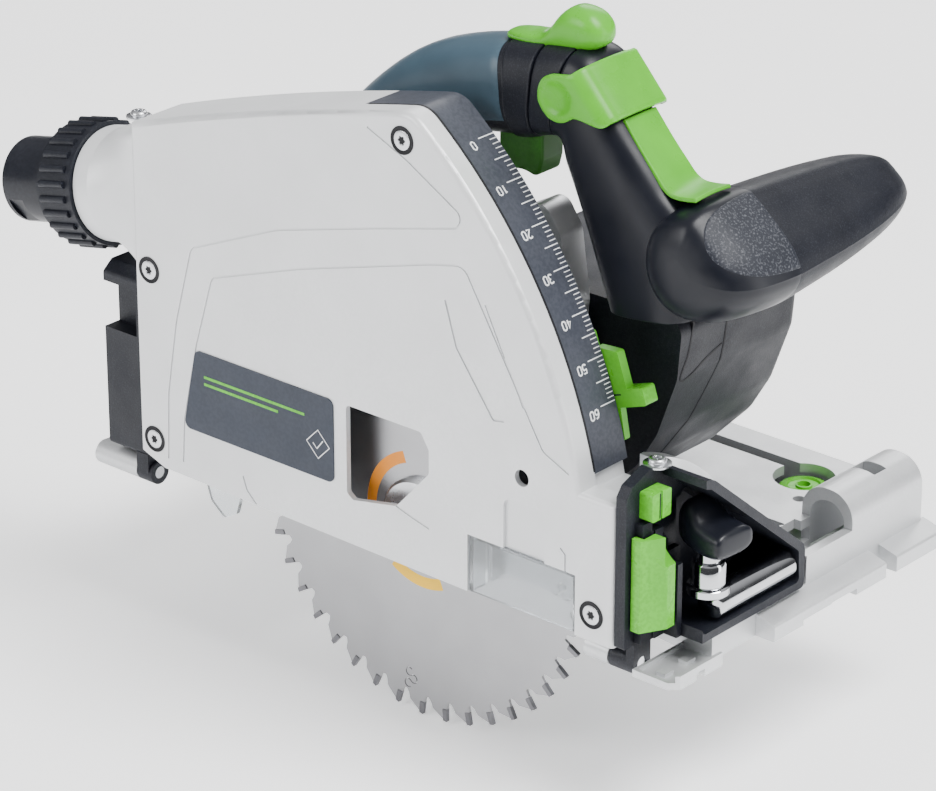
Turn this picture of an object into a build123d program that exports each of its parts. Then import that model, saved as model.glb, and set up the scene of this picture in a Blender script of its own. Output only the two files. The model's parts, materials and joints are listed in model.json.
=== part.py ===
"""Track plunge saw: a circular saw that plunges about a rear pivot and tilts for bevel cuts.

Frame, in millimetres: X is the cutting direction, Z is up and Y runs from the blade towards the motor.
The origin is the cut line under the saw arbor, on the sole plane. The saw is drawn fully plunged.
"""
import os
from math import acos, atan2, cos, degrees, hypot, pi, radians, sin, tan

from build123d import *

# ---- driving dimensions ----
BLADE_RADIUS = 84.0
BLADE_PLATE = 1.2
KERF = 1.8
BLADE_BORE = 20.0
TEETH = 42
FIRST_TOOTH = 201.376
MAX_DEPTH = 60.0
ARBOR_Z = BLADE_RADIUS - MAX_DEPTH

PIVOT_X, PIVOT_Z = -125.0, 22.0
PLUNGE_DEGREES = 28.8
SCALE_RADIUS = 216.5
STRIP = 2.5
WALL = 2.4

COVER_FACE = -12.0
COVER_BACK = -2.0
GUARD_BACK = 17.0
UNIT_FRONT = 17.6
RUN_GAP = 0.06

BASE_REAR, BASE_FRONT, BASE_FAR = -178.0, 136.0, 153.0
SOLE_LIFT = 0.5
SLAB_TOP = 6.0
DECK_TOP = 22.0
HANDLE_Y = 42.0
HANDLE_HALF = 16.0

SPOUT_TILT = 11.8
SPOUT_Y = 5.0
NECK_RADIUS = 23.4
HOSE_RADIUS = 17.5
HOSE_BORE = 14.5

GEAR_MODULE = 1.0
ARBOR_TEETH, IDLER_TEETH, PINION_TEETH = 35, 32, 10
GEAR_LOW, GEAR_HIGH = 28.0, 36.0
GEAR_TILT = radians(56.8)

ARBOR = (0.0, ARBOR_Z)
IDLER_REACH = GEAR_MODULE * (ARBOR_TEETH + IDLER_TEETH) / 2
MOTOR_REACH = IDLER_REACH + GEAR_MODULE * (IDLER_TEETH + PINION_TEETH) / 2
IDLER = (IDLER_REACH * cos(GEAR_TILT), ARBOR_Z + IDLER_REACH * sin(GEAR_TILT))
MOTOR = (MOTOR_REACH * cos(GEAR_TILT), ARBOR_Z + MOTOR_REACH * sin(GEAR_TILT))
PIVOT = (PIVOT_X, PIVOT_Z)

os.makedirs("parts", exist_ok=True)


# ---- shape helpers: each one adds to, or cuts from, the part being built ----
def side_slab(points, y_low, y_high, radius=0.0, mode=Mode.ADD):
    """Plate with its outline in X-Z, between two Y levels."""
    with BuildSketch(Plane.XZ.offset(-y_high)) as outline:
        with BuildLine():
            FilletPolyline(*points, radius=radius, close=True)
        make_face()
    extrude(outline.sketch, amount=y_high - y_low, mode=mode)


def front_slab(points, x_low, x_high, radius=0.0, mode=Mode.ADD):
    """Plate with its outline in Y-Z, between two X levels."""
    with BuildSketch(Plane.YZ.offset(x_low)) as outline:
        with BuildLine():
            FilletPolyline(*points, radius=radius, close=True)
        make_face()
    extrude(outline.sketch, amount=x_high - x_low, mode=mode)


def top_slab(points, z_low, z_high, radius=0.0, mode=Mode.ADD):
    """Plate with its outline in X-Y, between two Z levels."""
    with BuildSketch(Plane.XY.offset(z_low)) as outline:
        with BuildLine():
            FilletPolyline(*points, radius=radius, close=True)
        make_face()
    extrude(outline.sketch, amount=z_high - z_low, mode=mode)


def block(x_low, x_high, y_low, y_high, z_low, z_high, mode=Mode.ADD):
    """Rectangular block between three pairs of levels."""
    corners = [(x_low, y_low), (x_high, y_low), (x_high, y_high), (x_low, y_high)]
    top_slab(corners, z_low, z_high, mode=mode)


def cross_disc(centre, radius, y_low, y_high, mode=Mode.ADD):
    """Cylinder along Y at an X-Z centre."""
    with BuildSketch(Plane.XZ.offset(-y_high)) as outline:
        with Locations(centre):
            Circle(radius)
    extrude(outline.sketch, amount=y_high - y_low, mode=mode)


def long_disc(centre, radius, x_low, x_high, mode=Mode.ADD):
    """Cylinder along X at a Y-Z centre."""
    with BuildSketch(Plane.YZ.offset(x_low)) as outline:
        with Locations(centre):
            Circle(radius)
    extrude(outline.sketch, amount=x_high - x_low, mode=mode)


def upright_disc(centre, radius, z_low, z_high, mode=Mode.ADD):
    """Cylinder along Z at an X-Y centre."""
    with BuildSketch(Plane.XY.offset(z_low)) as outline:
        with Locations(centre):
            Circle(radius)
    extrude(outline.sketch, amount=z_high - z_low, mode=mode)


def disc_hull(circles, y_low, y_high, mode=Mode.ADD):
    """Plate that wraps round circles, each given as an X-Z centre and a radius."""
    with BuildSketch(Plane.XZ.offset(-y_high)) as outline:
        for centre, radius in circles:
            with Locations(centre):
                Circle(radius, mode=Mode.ADD)
        make_hull()
    extrude(outline.sketch, amount=y_high - y_low, mode=mode)


def polar(radius, angle_degrees, centre=(0.0, 0.0)):
    """Point at a radius and angle from a centre."""
    angle = radians(angle_degrees)
    return (centre[0] + radius * cos(angle), centre[1] + radius * sin(angle))


def save(builder, name):
    """Label a finished part and write its STEP file."""
    builder.part.label = name
    export_step(builder.part, f"parts/{name}.step")


# =====================================================================
# Base: everything that stands still
# =====================================================================
LUG_RADIUS = 5.0
REAR_LUG = (-176.0, -152.0)
FRONT_LUG = (84.0, 95.4)
TUNNEL_Y = (104.0, 150.0)
WHEEL_SPOTS = [(84.0, 131.0), (-120.0, 131.0)]
GROOVE = (80.0, 96.0, 3.5)
WALL_FRONT = 127.0

with BuildPart() as base_plate:
    # sole slab, with an opening under the gear housing
    top_slab(
        [(BASE_REAR, 14), (BASE_REAR, 150), (-173, BASE_FAR), (120, BASE_FAR), (WALL_FRONT, 147),
         (WALL_FRONT, 17), (132.4, 17), (132.4, -8), (129, -11.3), (112.5, -11.3), (112.5, 17.5),
         (98, 19), (76, 19), (76, 60), (-70, 60), (-70, 19), (-142, 19), (-150, 14)],
        SOLE_LIFT, SLAB_TOP)
    # toe tray: low rim on the cut side, notch in front
    block(113.9, 130.6, -9.6, 17.5, 1.8, SLAB_TOP, mode=Mode.SUBTRACT)
    block(112, 131, -11.5, 17.5, 3.4, SLAB_TOP, mode=Mode.SUBTRACT)
    block(130, 133, 1.5, 6.5, 0, 3.5, mode=Mode.SUBTRACT)
    with Locations((122, -4, 1.8), (122, 9, 1.8)):
        Box(4, 5, 1.4, align=(Align.CENTER, Align.CENTER, Align.MIN))
    # hinge barrels on the bevel axis, tied to the slab
    for lug in (REAR_LUG, FRONT_LUG):
        long_disc((0, 0), LUG_RADIUS, *lug)
        block(lug[0], lug[1], 0, 22, SOLE_LIFT, 4.8)
    # deck: far wall, raised plate and inner wall
    block(-172, 118, 148, BASE_FAR, SLAB_TOP, DECK_TOP)
    block(-172, WALL_FRONT, 98, 150, DECK_TOP - 4, DECK_TOP)
    block(-150, 96, 98, 101, SLAB_TOP, DECK_TOP - 4)
    # front wall, ledge beside the clamp bracket and front block
    block(123, WALL_FRONT, 17.5, 150, SLAB_TOP, 10.5)
    block(123, WALL_FRONT, 75, 150, 10.5, DECK_TOP)
    block(104, 123, 75, 104, 8, 12)
    top_slab([(62, 82), (78, 76), (104, 76), (104, 99), (62, 99)], DECK_TOP - 4, DECK_TOP, radius=2)
    # rear wall and its ledge
    block(-176, -172, 75, 150, SLAB_TOP, DECK_TOP)
    # fence-rod tunnels with an arched bore
    for x_low, x_high in ((103, WALL_FRONT), (-176, -152)):
        middle = (x_low + x_high) / 2
        side_slab([(x_low, 10), (x_low, 36), (x_high, 36), (x_high, 10)], *TUNNEL_Y,
                  radius=[0, 11, 11, 0])
        side_slab([(middle - 8, 9), (middle - 8, 31), (middle + 8, 31), (middle + 8, 9)],
                  TUNNEL_Y[0] - 6, TUNNEL_Y[1] + 4, radius=[1, 7.5, 7.5, 1], mode=Mode.SUBTRACT)
        block(middle - 6, middle + 5, 127, 135, 25, 40, mode=Mode.SUBTRACT)
    # stepped feet in front
    side_slab([(126, SOLE_LIFT), (BASE_FRONT, SOLE_LIFT), (BASE_FRONT, 7.2), (126, 10)], 44, 115,
              radius=[0, 0.6, 1.2, 0])
    side_slab([(126, SOLE_LIFT), (BASE_FRONT, SOLE_LIFT), (BASE_FRONT, 7.2), (126, 10)], 122, BASE_FAR,
              radius=[0, 0.6, 1.2, 0])
    block(128, 137, 62, 84, 0, 3, mode=Mode.SUBTRACT)
    # trench and round pockets for the rail wheels
    for x_low, x_high in ((20, 98), (-150, -96)):
        block(x_low, x_high, 134, 140, 17, 23, mode=Mode.SUBTRACT)
    for spot in WHEEL_SPOTS:
        upright_disc(spot, 12.5, SLAB_TOP, 23, mode=Mode.SUBTRACT)
    top_slab([(58, 86), (66, 84), (100, 84), (104.5, 92), (84, 92)], 17, 23, radius=0.8, mode=Mode.SUBTRACT)
    for spot in ((94.6, 113.5), (-60.0, 113.5)):
        upright_disc(spot, 2.6, 17, 23, mode=Mode.SUBTRACT)
    with BuildSketch(Plane.XY.offset(7.5)):
        with Locations((114, 88)):
            SlotOverall(12, 8)
    extrude(amount=6, mode=Mode.SUBTRACT)
    # groove that runs on the guide rail's rib
    block(BASE_REAR - 1, BASE_FRONT + 1, GROOVE[0], GROOVE[1], 0, GROOVE[2], mode=Mode.SUBTRACT)
    # seats for the glide strips
    for y_low, y_high in ((66, 76), (118, 130)):
        block(BASE_REAR + 6, 118, y_low, y_high, SOLE_LIFT, 1.5, mode=Mode.SUBTRACT)
    # bores for the bevel pins, wheel stems and segment screws
    long_disc((0, 0), 2.5, REAR_LUG[0] - 1, FRONT_LUG[1] + 1, mode=Mode.SUBTRACT)
    for spot in WHEEL_SPOTS:
        upright_disc(spot, 3.0 + RUN_GAP, 2, SLAB_TOP + 1, mode=Mode.SUBTRACT)
save(base_plate, "base_plate")

with BuildPart() as glide_strips:
    for y_low, y_high in ((66.2, 75.8), (118.2, 129.8)):
        block(BASE_REAR + 6.2, 117.8, y_low, y_high, 0, 1.5)
    chamfer(glide_strips.edges().group_by(Axis.Z)[0].filter_by(Axis.Y), 0.8)
save(glide_strips, "glide_strips")


def rail_wheel(spot):
    """Knurled wheel on a short stem, which sets the play on the guide rail."""
    with BuildPart() as wheel:
        upright_disc(spot, 10.0, 8.0, 19.0)
        upright_disc(spot, 3.0, 2.2, 8.0)
        chamfer(wheel.edges().filter_by(GeomType.CIRCLE).group_by(Axis.Z)[-1], 0.8)
        with Locations((spot[0], spot[1], 13.5)):
            with PolarLocations(10.3, 36):
                Cylinder(0.55, 12, mode=Mode.SUBTRACT)
        upright_disc(spot, 3.5, 17.5, 19.5, mode=Mode.SUBTRACT)
    return wheel


save(rail_wheel(WHEEL_SPOTS[0]), "rail_wheel_front")
save(rail_wheel(WHEEL_SPOTS[1]), "rail_wheel_rear")

SEGMENT_RADIUS = 76.0
SLOT_RADIUS = 60.0
CLAMP_ANGLE = 20.0
SEGMENT_X = [(90.0, 96.5), (-149.0, -143.4)]


with BuildPart() as bevel_segments:
    for x_low, x_high in SEGMENT_X:
        with BuildSketch(Plane.YZ.offset(x_low)) as arc_face:
            with BuildLine():
                low, high = polar(SEGMENT_RADIUS, 5.5), polar(SEGMENT_RADIUS, 74)
                Line((19.2, SLAB_TOP), (low[0], SLAB_TOP))
                Line((low[0], SLAB_TOP), low)
                ThreePointArc(low, polar(SEGMENT_RADIUS, 40), high)
                Line(high, (19.2, high[1]))
                Line((19.2, high[1]), (19.2, SLAB_TOP))
            make_face()
            with BuildLine(mode=Mode.PRIVATE):
                path = CenterArc((0, 0), SLOT_RADIUS, CLAMP_ANGLE - 3, 51)
            SlotArc(path, 7, mode=Mode.SUBTRACT)
        extrude(arc_face.sketch, amount=x_high - x_low)
        block(x_low - 5, x_low, 21, 74, SLAB_TOP, 9)
save(bevel_segments, "bevel_segments")

with BuildPart() as bevel_pins:
    long_disc((0, 0), 2.5, REAR_LUG[0] + 0.5, -143.5)
    long_disc((0, 0), 2.5, FRONT_LUG[0] + 0.5, 107.5)
save(bevel_pins, "bevel_pins")

# =====================================================================
# Guard: tilts about the bevel axis
# =====================================================================
GUARD_REAR, GUARD_TOE, GUARD_FLOOR = -141.7, 103.4, 8.6
STEP_Z = 66.9
APEX = (5.5, 194.7)
TOP_CENTRE, TOP_RADIUS = (249.3, -1000.7), 1220.1
SPOUT_ORIGIN = Vector(-160.0, SPOUT_Y, 120.0)
SPOUT_DIR = Vector(-cos(radians(SPOUT_TILT)), 0, -sin(radians(SPOUT_TILT)))
SCREW_SPOTS = [(1.3, 183.0), (-133.3, 95.5), (-133.3, 22.3), (93.3, 19.5)]
WINDOW = [(-28.6, 68.3), (-28.6, 31.2), (-25.5, 29.0), (-3.1, 33.5), (13.6, 52.0), (13.6, 62.0), (9.5, 68.3)]
SIGHT = (32.8, 85.4, 33.2)
PARTING_X = -26.0


def spout_plane(distance):
    """Plane across the dust spout, at a distance along its axis from the neck."""
    return Plane(origin=SPOUT_ORIGIN + SPOUT_DIR * distance, x_dir=(0, 1, 0), z_dir=SPOUT_DIR)


def guard_face(inset=0.0):
    """Side outline of the blade guard: a disc about the plunge pivot cut by the top arc, and a square toe."""
    rear, toe, floor = GUARD_REAR + inset, GUARD_TOE - inset, GUARD_FLOOR + inset
    with BuildSketch() as outline:
        with Locations(PIVOT):
            Circle(SCALE_RADIUS - inset)
        with Locations(TOP_CENTRE):
            Circle(TOP_RADIUS - inset, mode=Mode.INTERSECT)
        with BuildLine():
            Polyline((rear, 240), (rear, 16), (-128, floor + 2.5), (92, floor), (92, 240), close=True)
        make_face(mode=Mode.INTERSECT)
        with BuildLine():
            Polyline((60, floor), (toe, floor), (toe, STEP_Z - inset), (60, STEP_Z - inset), close=True)
        make_face()
        corners = outline.vertices()
        fillet(corners.sort_by_distance((*APEX, 0))[0], 12)
        fillet(corners.sort_by_distance((toe, STEP_Z, 0))[0], 3)
        fillet(corners.sort_by_distance((toe, floor, 0))[0], 3)
        fillet(corners.sort_by_distance((rear, 155, 0))[0], 5)
    return outline.sketch


def guard_slab(inset, y_low, y_high, mode=Mode.ADD):
    """Plate with the guard's side outline, set in by an amount."""
    with BuildSketch(Plane.XZ.offset(-y_high)) as outline:
        add(guard_face(inset))
    extrude(outline.sketch, amount=y_high - y_low, mode=mode)


def groove(points, width=0.8, depth=0.5, radius=3.0):
    """Moulded line on the cover's outer face."""
    with BuildSketch(Plane.XZ.offset(-COVER_FACE - depth)) as line_face:
        with BuildLine() as line:
            FilletPolyline(*points, radius=radius)
        trace(line.line, line_width=width)
    extrude(line_face.sketch, amount=depth + 1, mode=Mode.SUBTRACT)


def duct_loft(inset, start, mode=Mode.ADD):
    """Body between the guard's flat section, at an X level, and the round neck of the dust spout."""
    with BuildSketch(Plane(origin=(start, 2.5, 124.0), x_dir=(0, 1, 0), z_dir=(-1, 0, 0))) as flat_end:
        RectangleRounded(28.8 - 2 * inset, 61 - 2 * inset, 6 - inset)
    with BuildSketch(spout_plane(0)) as round_end:
        Circle(NECK_RADIUS - inset)
    loft(sections=[flat_end.sketch, round_end.sketch], mode=mode)


with BuildPart() as dust_duct:
    duct_loft(0, -140.4)
    duct_loft(WALL, -140.4, mode=Mode.SUBTRACT)
    with BuildSketch(spout_plane(0)) as neck_face:
        Circle(NECK_RADIUS)
        Circle(NECK_RADIUS - WALL, mode=Mode.SUBTRACT)
    extrude(neck_face.sketch, amount=8)

with BuildPart() as outer_cover:
    guard_slab(0, COVER_FACE, COVER_BACK)
    # the rear of the cover wraps over the full thickness of the guard
    with BuildSketch(Plane.XZ.offset(-GUARD_BACK)):
        add(guard_face())
        with Locations((PARTING_X + 100, 100)):
            Rectangle(200, 300, mode=Mode.SUBTRACT)
    extrude(amount=GUARD_BACK - COVER_BACK)
    fillet(outer_cover.edges().group_by(Axis.Y)[0].filter_by_position(Axis.Z, 16, 200), 2.2)
    # hollow inside, open towards the blade slot and the guard housing
    guard_slab(WALL, COVER_FACE + WALL, GUARD_BACK + 1, mode=Mode.SUBTRACT)
    block(-128, 101, COVER_FACE + WALL, GUARD_BACK + 1, 0, 16, mode=Mode.SUBTRACT)
    # duct to the dust spout
    block(-145, -138, -9.3, 14.3, 96.2, 151.8, mode=Mode.SUBTRACT)
    add(dust_duct.part)
    # window for changing the blade and notch for the sight window
    side_slab(WINDOW, COVER_FACE - 1, COVER_FACE + 3, radius=2, mode=Mode.SUBTRACT)
    block(SIGHT[0], SIGHT[1], COVER_FACE - 1, COVER_BACK + 1, 0, SIGHT[2], mode=Mode.SUBTRACT)
    # finger recess above the sight window, a plain round hole and the screw seats
    side_slab([(50.6, 30), (50.6, 54), (70.6, 54), (70.6, 30)], COVER_FACE - 1, COVER_FACE + 1.3, radius=3,
              mode=Mode.SUBTRACT)
    cross_disc((59.4, 64.6), 3.4, COVER_FACE - 1, COVER_FACE + 6, mode=Mode.SUBTRACT)
    for spot in SCREW_SPOTS:
        cross_disc(spot, 5.2, COVER_FACE - 1, COVER_FACE + 1.6, mode=Mode.SUBTRACT)
        cross_disc(spot, 2.2, COVER_FACE, COVER_FACE + 9, mode=Mode.SUBTRACT)
    # moulded lines
    groove([(-125.8, 16), (-124.5, 45), (-119, 77), (-109.5, 111), (-63.5, 130.8), (-10, 145.5), (36, 157.5),
            (3, 176), (-16, 184.0)], radius=[8, 20, 6, 40, 60, 4, 2])
    groove([(-117.4, 17), (-116, 36), (-108.1, 70.6), (-98.5, 101.5), (-51.3, 118.1), (14, 137.5),
            (31, 141.5), (69.5, 78.5), (82, 73)], radius=[8, 20, 5, 60, 60, 6, 5])
    groove([(22, 125.5), (27.5, 108), (45.5, 84.0), (50.5, 85.0)], width=1.0, depth=0.6, radius=[3, 1])
    groove([(41.5, 129), (47, 118), (60, 93)], width=0.8, depth=0.4, radius=6)
    groove([(-84.3, 21), (-82.3, 15.5), (-74.3, 8)], width=0.9, depth=0.6, radius=1)
    groove([(78.2, 42.1), (80.6, 40), (80.6, 33)], width=0.9, depth=0.6, radius=1)
    groove([(-3.1, 33.5), (6, 31), (13.6, 29.2)], radius=1)
save(outer_cover, "outer_cover")

INSIDE = WALL + 0.2
with BuildPart() as guard_housing:
    guard_slab(INSIDE, COVER_BACK + 0.2, GUARD_BACK)
    guard_slab(INSIDE + WALL, COVER_BACK - 1, GUARD_BACK - WALL, mode=Mode.SUBTRACT)
    block(-126, 99, COVER_BACK - 1, GUARD_BACK - WALL, 0, 18, mode=Mode.SUBTRACT)
    # screw bosses behind the cover, and the boss for the plunge pivot
    for spot in SCREW_SPOTS:
        cross_disc(spot, 4.2, COVER_FACE + WALL + 0.1, GUARD_BACK)
        cross_disc(spot, 2.2, COVER_FACE, 10, mode=Mode.SUBTRACT)
    cross_disc(PIVOT, 9, 4, GUARD_BACK)
    cross_disc(PIVOT, 5, 3, GUARD_BACK + 1, mode=Mode.SUBTRACT)
    # front post and rear post that the end carriers bolt to
    block(99, 103.8, COVER_BACK + 0.2, GUARD_BACK, 12, 66)
    # curved slot that lets the spindle travel
    start = degrees(atan2(ARBOR_Z - PIVOT_Z, -PIVOT_X))
    with BuildSketch(Plane.XZ.offset(-GUARD_BACK - 1)):
        with BuildLine(mode=Mode.PRIVATE):
            travel = CenterArc(PIVOT, hypot(PIVOT_X, ARBOR_Z - PIVOT_Z), start - 4, PLUNGE_DEGREES + 8)
        SlotArc(travel, 22)
    extrude(amount=WALL + 4, mode=Mode.SUBTRACT)
    # dust passage into the duct of the cover
    block(-145, -136, COVER_BACK - 1, GUARD_BACK - WALL, 96, 150, mode=Mode.SUBTRACT)
    block(88, 104, -3, 18, 0, 12.4, mode=Mode.SUBTRACT)
save(guard_housing, "guard_housing")

with BuildPart() as depth_scale:
    with BuildSketch(Plane.XZ.offset(-GUARD_BACK)):
        add(guard_face())
        add(guard_face(STRIP), mode=Mode.SUBTRACT)
        with Locations((PARTING_X + 0.2 - 100, 100)):
            Rectangle(200, 300, mode=Mode.SUBTRACT)
        with Locations((60, -30)):
            Rectangle(200, 202, mode=Mode.SUBTRACT)
    extrude(amount=GUARD_BACK - COVER_BACK - 0.2)
save(depth_scale, "depth_scale")

with BuildPart() as nameplate:
    side_slab([(-108.7, 68.3), (-35, 68.3), (-35, 33.2), (-115.9, 33.2)], COVER_FACE - 0.5, COVER_FACE,
              radius=3)
save(nameplate, "nameplate")


def torx_screw(spot, y_face, head=4.6, length=14.0):
    """Countersunk-style screw along +Y with a six-lobed socket."""
    cross_disc(spot, head, y_face, y_face + 1.4)
    cross_disc(spot, 1.9, y_face + 1.4, y_face + length)
    cross_disc(spot, 1.5, y_face - 1, y_face + 1.0, mode=Mode.SUBTRACT)
    for step in range(6):
        lobe = polar(1.6, 60 * step, spot)
        cross_disc(lobe, 0.6, y_face - 1, y_face + 1.0, mode=Mode.SUBTRACT)


with BuildPart() as cover_screws:
    for spot in SCREW_SPOTS:
        torx_screw(spot, COVER_FACE + 0.15)
save(cover_screws, "cover_screws")

with BuildPart() as sight_window:
    block(SIGHT[0] + 0.2, SIGHT[1] - 0.2, COVER_FACE + 0.4, COVER_FACE + 1.9, 9.6, SIGHT[2] - 0.2)
    block(SIGHT[0] + 0.2, SIGHT[0] + 2.0, COVER_FACE + 1.9, COVER_BACK, 9.6, SIGHT[2] - 0.2)
    block(SIGHT[1] - 2.0, SIGHT[1] - 0.2, COVER_FACE + 1.9, COVER_BACK, 9.6, SIGHT[2] - 0.2)
    block(SIGHT[0] + 2.0, SIGHT[1] - 2.0, COVER_FACE + 1.9, COVER_BACK, SIGHT[2] - 1.8, SIGHT[2] - 0.2)
    fillet(sight_window.edges().filter_by(Axis.Z).group_by(Axis.Y)[0], 1.2)
save(sight_window, "sight_window")

# ---- end carriers ----
CARRIER_FRONT = 129.0
CARRIER_BOTTOM = 11.5
BOX_RIGHT = 71.0
KNOB_SPOT = (121.0, 22.0)
ROD = (123.5, 20.5, 5.0)
BOX_OUTLINE = [(0, CARRIER_BOTTOM), (0, 79), (13, 77), (70, 30), (BOX_RIGHT, 27), (BOX_RIGHT, CARRIER_BOTTOM)]
FACE_X = 104.2
BEVEL_BOLT = polar(SLOT_RADIUS, CLAMP_ANGLE)

with BuildPart() as front_carrier:
    # edge strip beside the cover and the housing of the splinter guard
    front_slab([(-12, 10), (-12, 71), (-9, 75), (2, 79), (GUARD_BACK, 74), (GUARD_BACK, CARRIER_BOTTOM),
                (-9, 10)],
               FACE_X, 109.0, radius=0.8)
    block(109, 112.4, -6.5, 8.5, CARRIER_BOTTOM, 60)
    # clamp box, open to the front
    front_slab([(GUARD_BACK + 0.8, CARRIER_BOTTOM), (GUARD_BACK + 0.8, 73), (70, 30), (BOX_RIGHT, 27),
                (BOX_RIGHT, CARRIER_BOTTOM)], 98.0, FACE_X + 1, radius=0.5)
    front_slab(BOX_OUTLINE, FACE_X, CARRIER_FRONT, radius=[1, 6, 10, 3, 3, 2])
    front_slab([(9, 14.8), (9, 74.2), (12, 73.2), (67, 28), (67.8, 14.8)], 109.0,
               CARRIER_FRONT + 1, radius=[2, 0, 0, 2, 2], mode=Mode.SUBTRACT)
    front_slab([(20, 14.8), (20, 66.5), (67, 28), (67.8, 25.5), (67.8, 14.8)], 101.0, 110.0, radius=2,
               mode=Mode.SUBTRACT)
    # the splinter guard runs in a slot that is open to the front
    front_slab([(-1, 9), (-1, 80), (6.2, 80), (6.2, 9)], 113.0, 130, mode=Mode.SUBTRACT)
    block(119.0, 130, -1, 9, 9, 80, mode=Mode.SUBTRACT)
    block(109, 130, -1, 9, 56, 80, mode=Mode.SUBTRACT)
    # clearance for the wings of the clamp knob
    with BuildSketch(Plane.XY.offset(41.5)) as sweep:
        with Locations(KNOB_SPOT):
            Circle(17.2)
        with Locations((126.8, 22)):
            Rectangle(40, 60, mode=Mode.INTERSECT)
    extrude(sweep.sketch, amount=10, mode=Mode.SUBTRACT)
    block(106.8, 131, 4.5, 24, 51, 62, mode=Mode.SUBTRACT)
    # hinge ear, rod seat and bolt hole
    long_disc((0, 0), LUG_RADIUS, 95.8, 108.0)
    block(104.3, 108.0, -5, 5, 0, CARRIER_BOTTOM)
    long_disc((0, 0), 2.5 + RUN_GAP, 95, 109, mode=Mode.SUBTRACT)
    long_disc(BEVEL_BOLT, 2.5, 97, 130, mode=Mode.SUBTRACT)
    cross_disc(ROD[:2], ROD[2], 20.0, 67.8, mode=Mode.SUBTRACT)
save(front_carrier, "front_carrier")

with BuildPart() as rear_carrier:
    front_slab([(-5, 8), (-5, 84), (0, 88), (13, 88), (GUARD_BACK, 84), (GUARD_BACK, 8)], -167, -145,
               radius=2)
    block(-168, -149, -6, 3, 60, 80, mode=Mode.SUBTRACT)
    front_slab([(GUARD_BACK - 1, 14), (GUARD_BACK - 1, 74), (28, 70), (66, 36), (66, 14)], -167, -150,
               radius=2)
    front_slab([(20, 17), (20, 66), (27, 65.5), (62.6, 33.5), (62.6, 17)], -168, -154, radius=2,
               mode=Mode.SUBTRACT)
    long_disc((0, 0), LUG_RADIUS, -151.6, -143.4)
    block(-151.6, -145, -5, 5, 0, 9)
    long_disc((0, 0), 2.5 + RUN_GAP, -152, -143, mode=Mode.SUBTRACT)
    long_disc(BEVEL_BOLT, 2.5, -168, -149, mode=Mode.SUBTRACT)
save(rear_carrier, "rear_carrier")

with BuildPart() as clamp_bolts:
    long_disc(BEVEL_BOLT, 2.5, 86.5, 106.5)
    with BuildSketch(Plane.YZ.offset(84.5)):
        with Locations(BEVEL_BOLT):
            RegularPolygon(4.6, 6)
    extrude(amount=4.9)
    long_disc(BEVEL_BOLT, 2.5, -166.0, -141.0)
    with BuildSketch(Plane.YZ.offset(-142.8)):
        with Locations(BEVEL_BOLT):
            RegularPolygon(4.6, 6)
    extrude(amount=3.4)
save(clamp_bolts, "clamp_bolts")

with BuildPart() as front_clamp_rod:
    cross_disc(ROD[:2], ROD[2], 20.3, 66.8)
    chamfer(front_clamp_rod.edges().filter_by(GeomType.CIRCLE), 1.0)
    upright_disc(KNOB_SPOT, 3.2 + RUN_GAP, 14, 27, mode=Mode.SUBTRACT)
save(front_clamp_rod, "front_clamp_rod")

with BuildPart() as front_clamp_stud:
    upright_disc(KNOB_SPOT, 3.2, 17.5, 27)
    upright_disc(KNOB_SPOT, 8.0, 27, 42)
    chamfer(front_clamp_stud.edges().filter_by(GeomType.CIRCLE).group_by(Axis.Z)[-1], 0.8)
save(front_clamp_stud, "front_clamp_stud")

WING_TURN = 50.0
with BuildPart() as front_clamp_knob:
    upright_disc(KNOB_SPOT, 9.0, 42, 56)
    for turn, top in ((WING_TURN, 50.5), (WING_TURN + 180, 61)):
        tip = polar(10.5, turn, KNOB_SPOT)
        with BuildSketch(Plane.XY.offset(42)) as lobe:
            with Locations(KNOB_SPOT):
                Circle(6.2)
            with Locations(tip):
                Circle(6.2)
            make_hull()
        extrude(lobe.sketch, amount=top - 42)
    fillet(front_clamp_knob.edges().group_by(Axis.Z)[-1], 2.5)
save(front_clamp_knob, "front_clamp_knob")

with BuildPart() as rear_clamp_knob:
    long_disc(BEVEL_BOLT, 13, -180, -168.4)
    long_disc(BEVEL_BOLT, 3.3, -168.4, -154.4)
    long_disc(BEVEL_BOLT, 2.5 + RUN_GAP, -178, -150, mode=Mode.SUBTRACT)
    with Locations(Plane(origin=(-174, *BEVEL_BOLT), z_dir=(1, 0, 0))):
        with PolarLocations(14.5, 6):
            Cylinder(3.6, 14, mode=Mode.SUBTRACT)
save(rear_clamp_knob, "rear_clamp_knob")

with BuildPart() as cut_pointer:
    front_slab([(-4.5, 61), (-4.5, 72), (6.5, 72), (6.5, 61)], 109.0, 115.0, radius=1.0)
    block(114.2, 116, 0.6, 1.4, 60, 73, mode=Mode.SUBTRACT)
save(cut_pointer, "cut_pointer")

with BuildPart() as splinter_guard:
    # slanted outer face, and a scoop for the thumb on the inner half
    strip = [(109.4, -9.4), (113.6, -9.4), (118.8, 0.5), (118.8, 5.2), (113.3, 5.2), (113.3, -6.9),
             (109.4, -6.9)]
    top_slab(strip, 17.5, 55, radius=0.4)
    cross_disc((126, 56), 15, -0.5, 8, mode=Mode.SUBTRACT)
save(splinter_guard, "splinter_guard")

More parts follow.
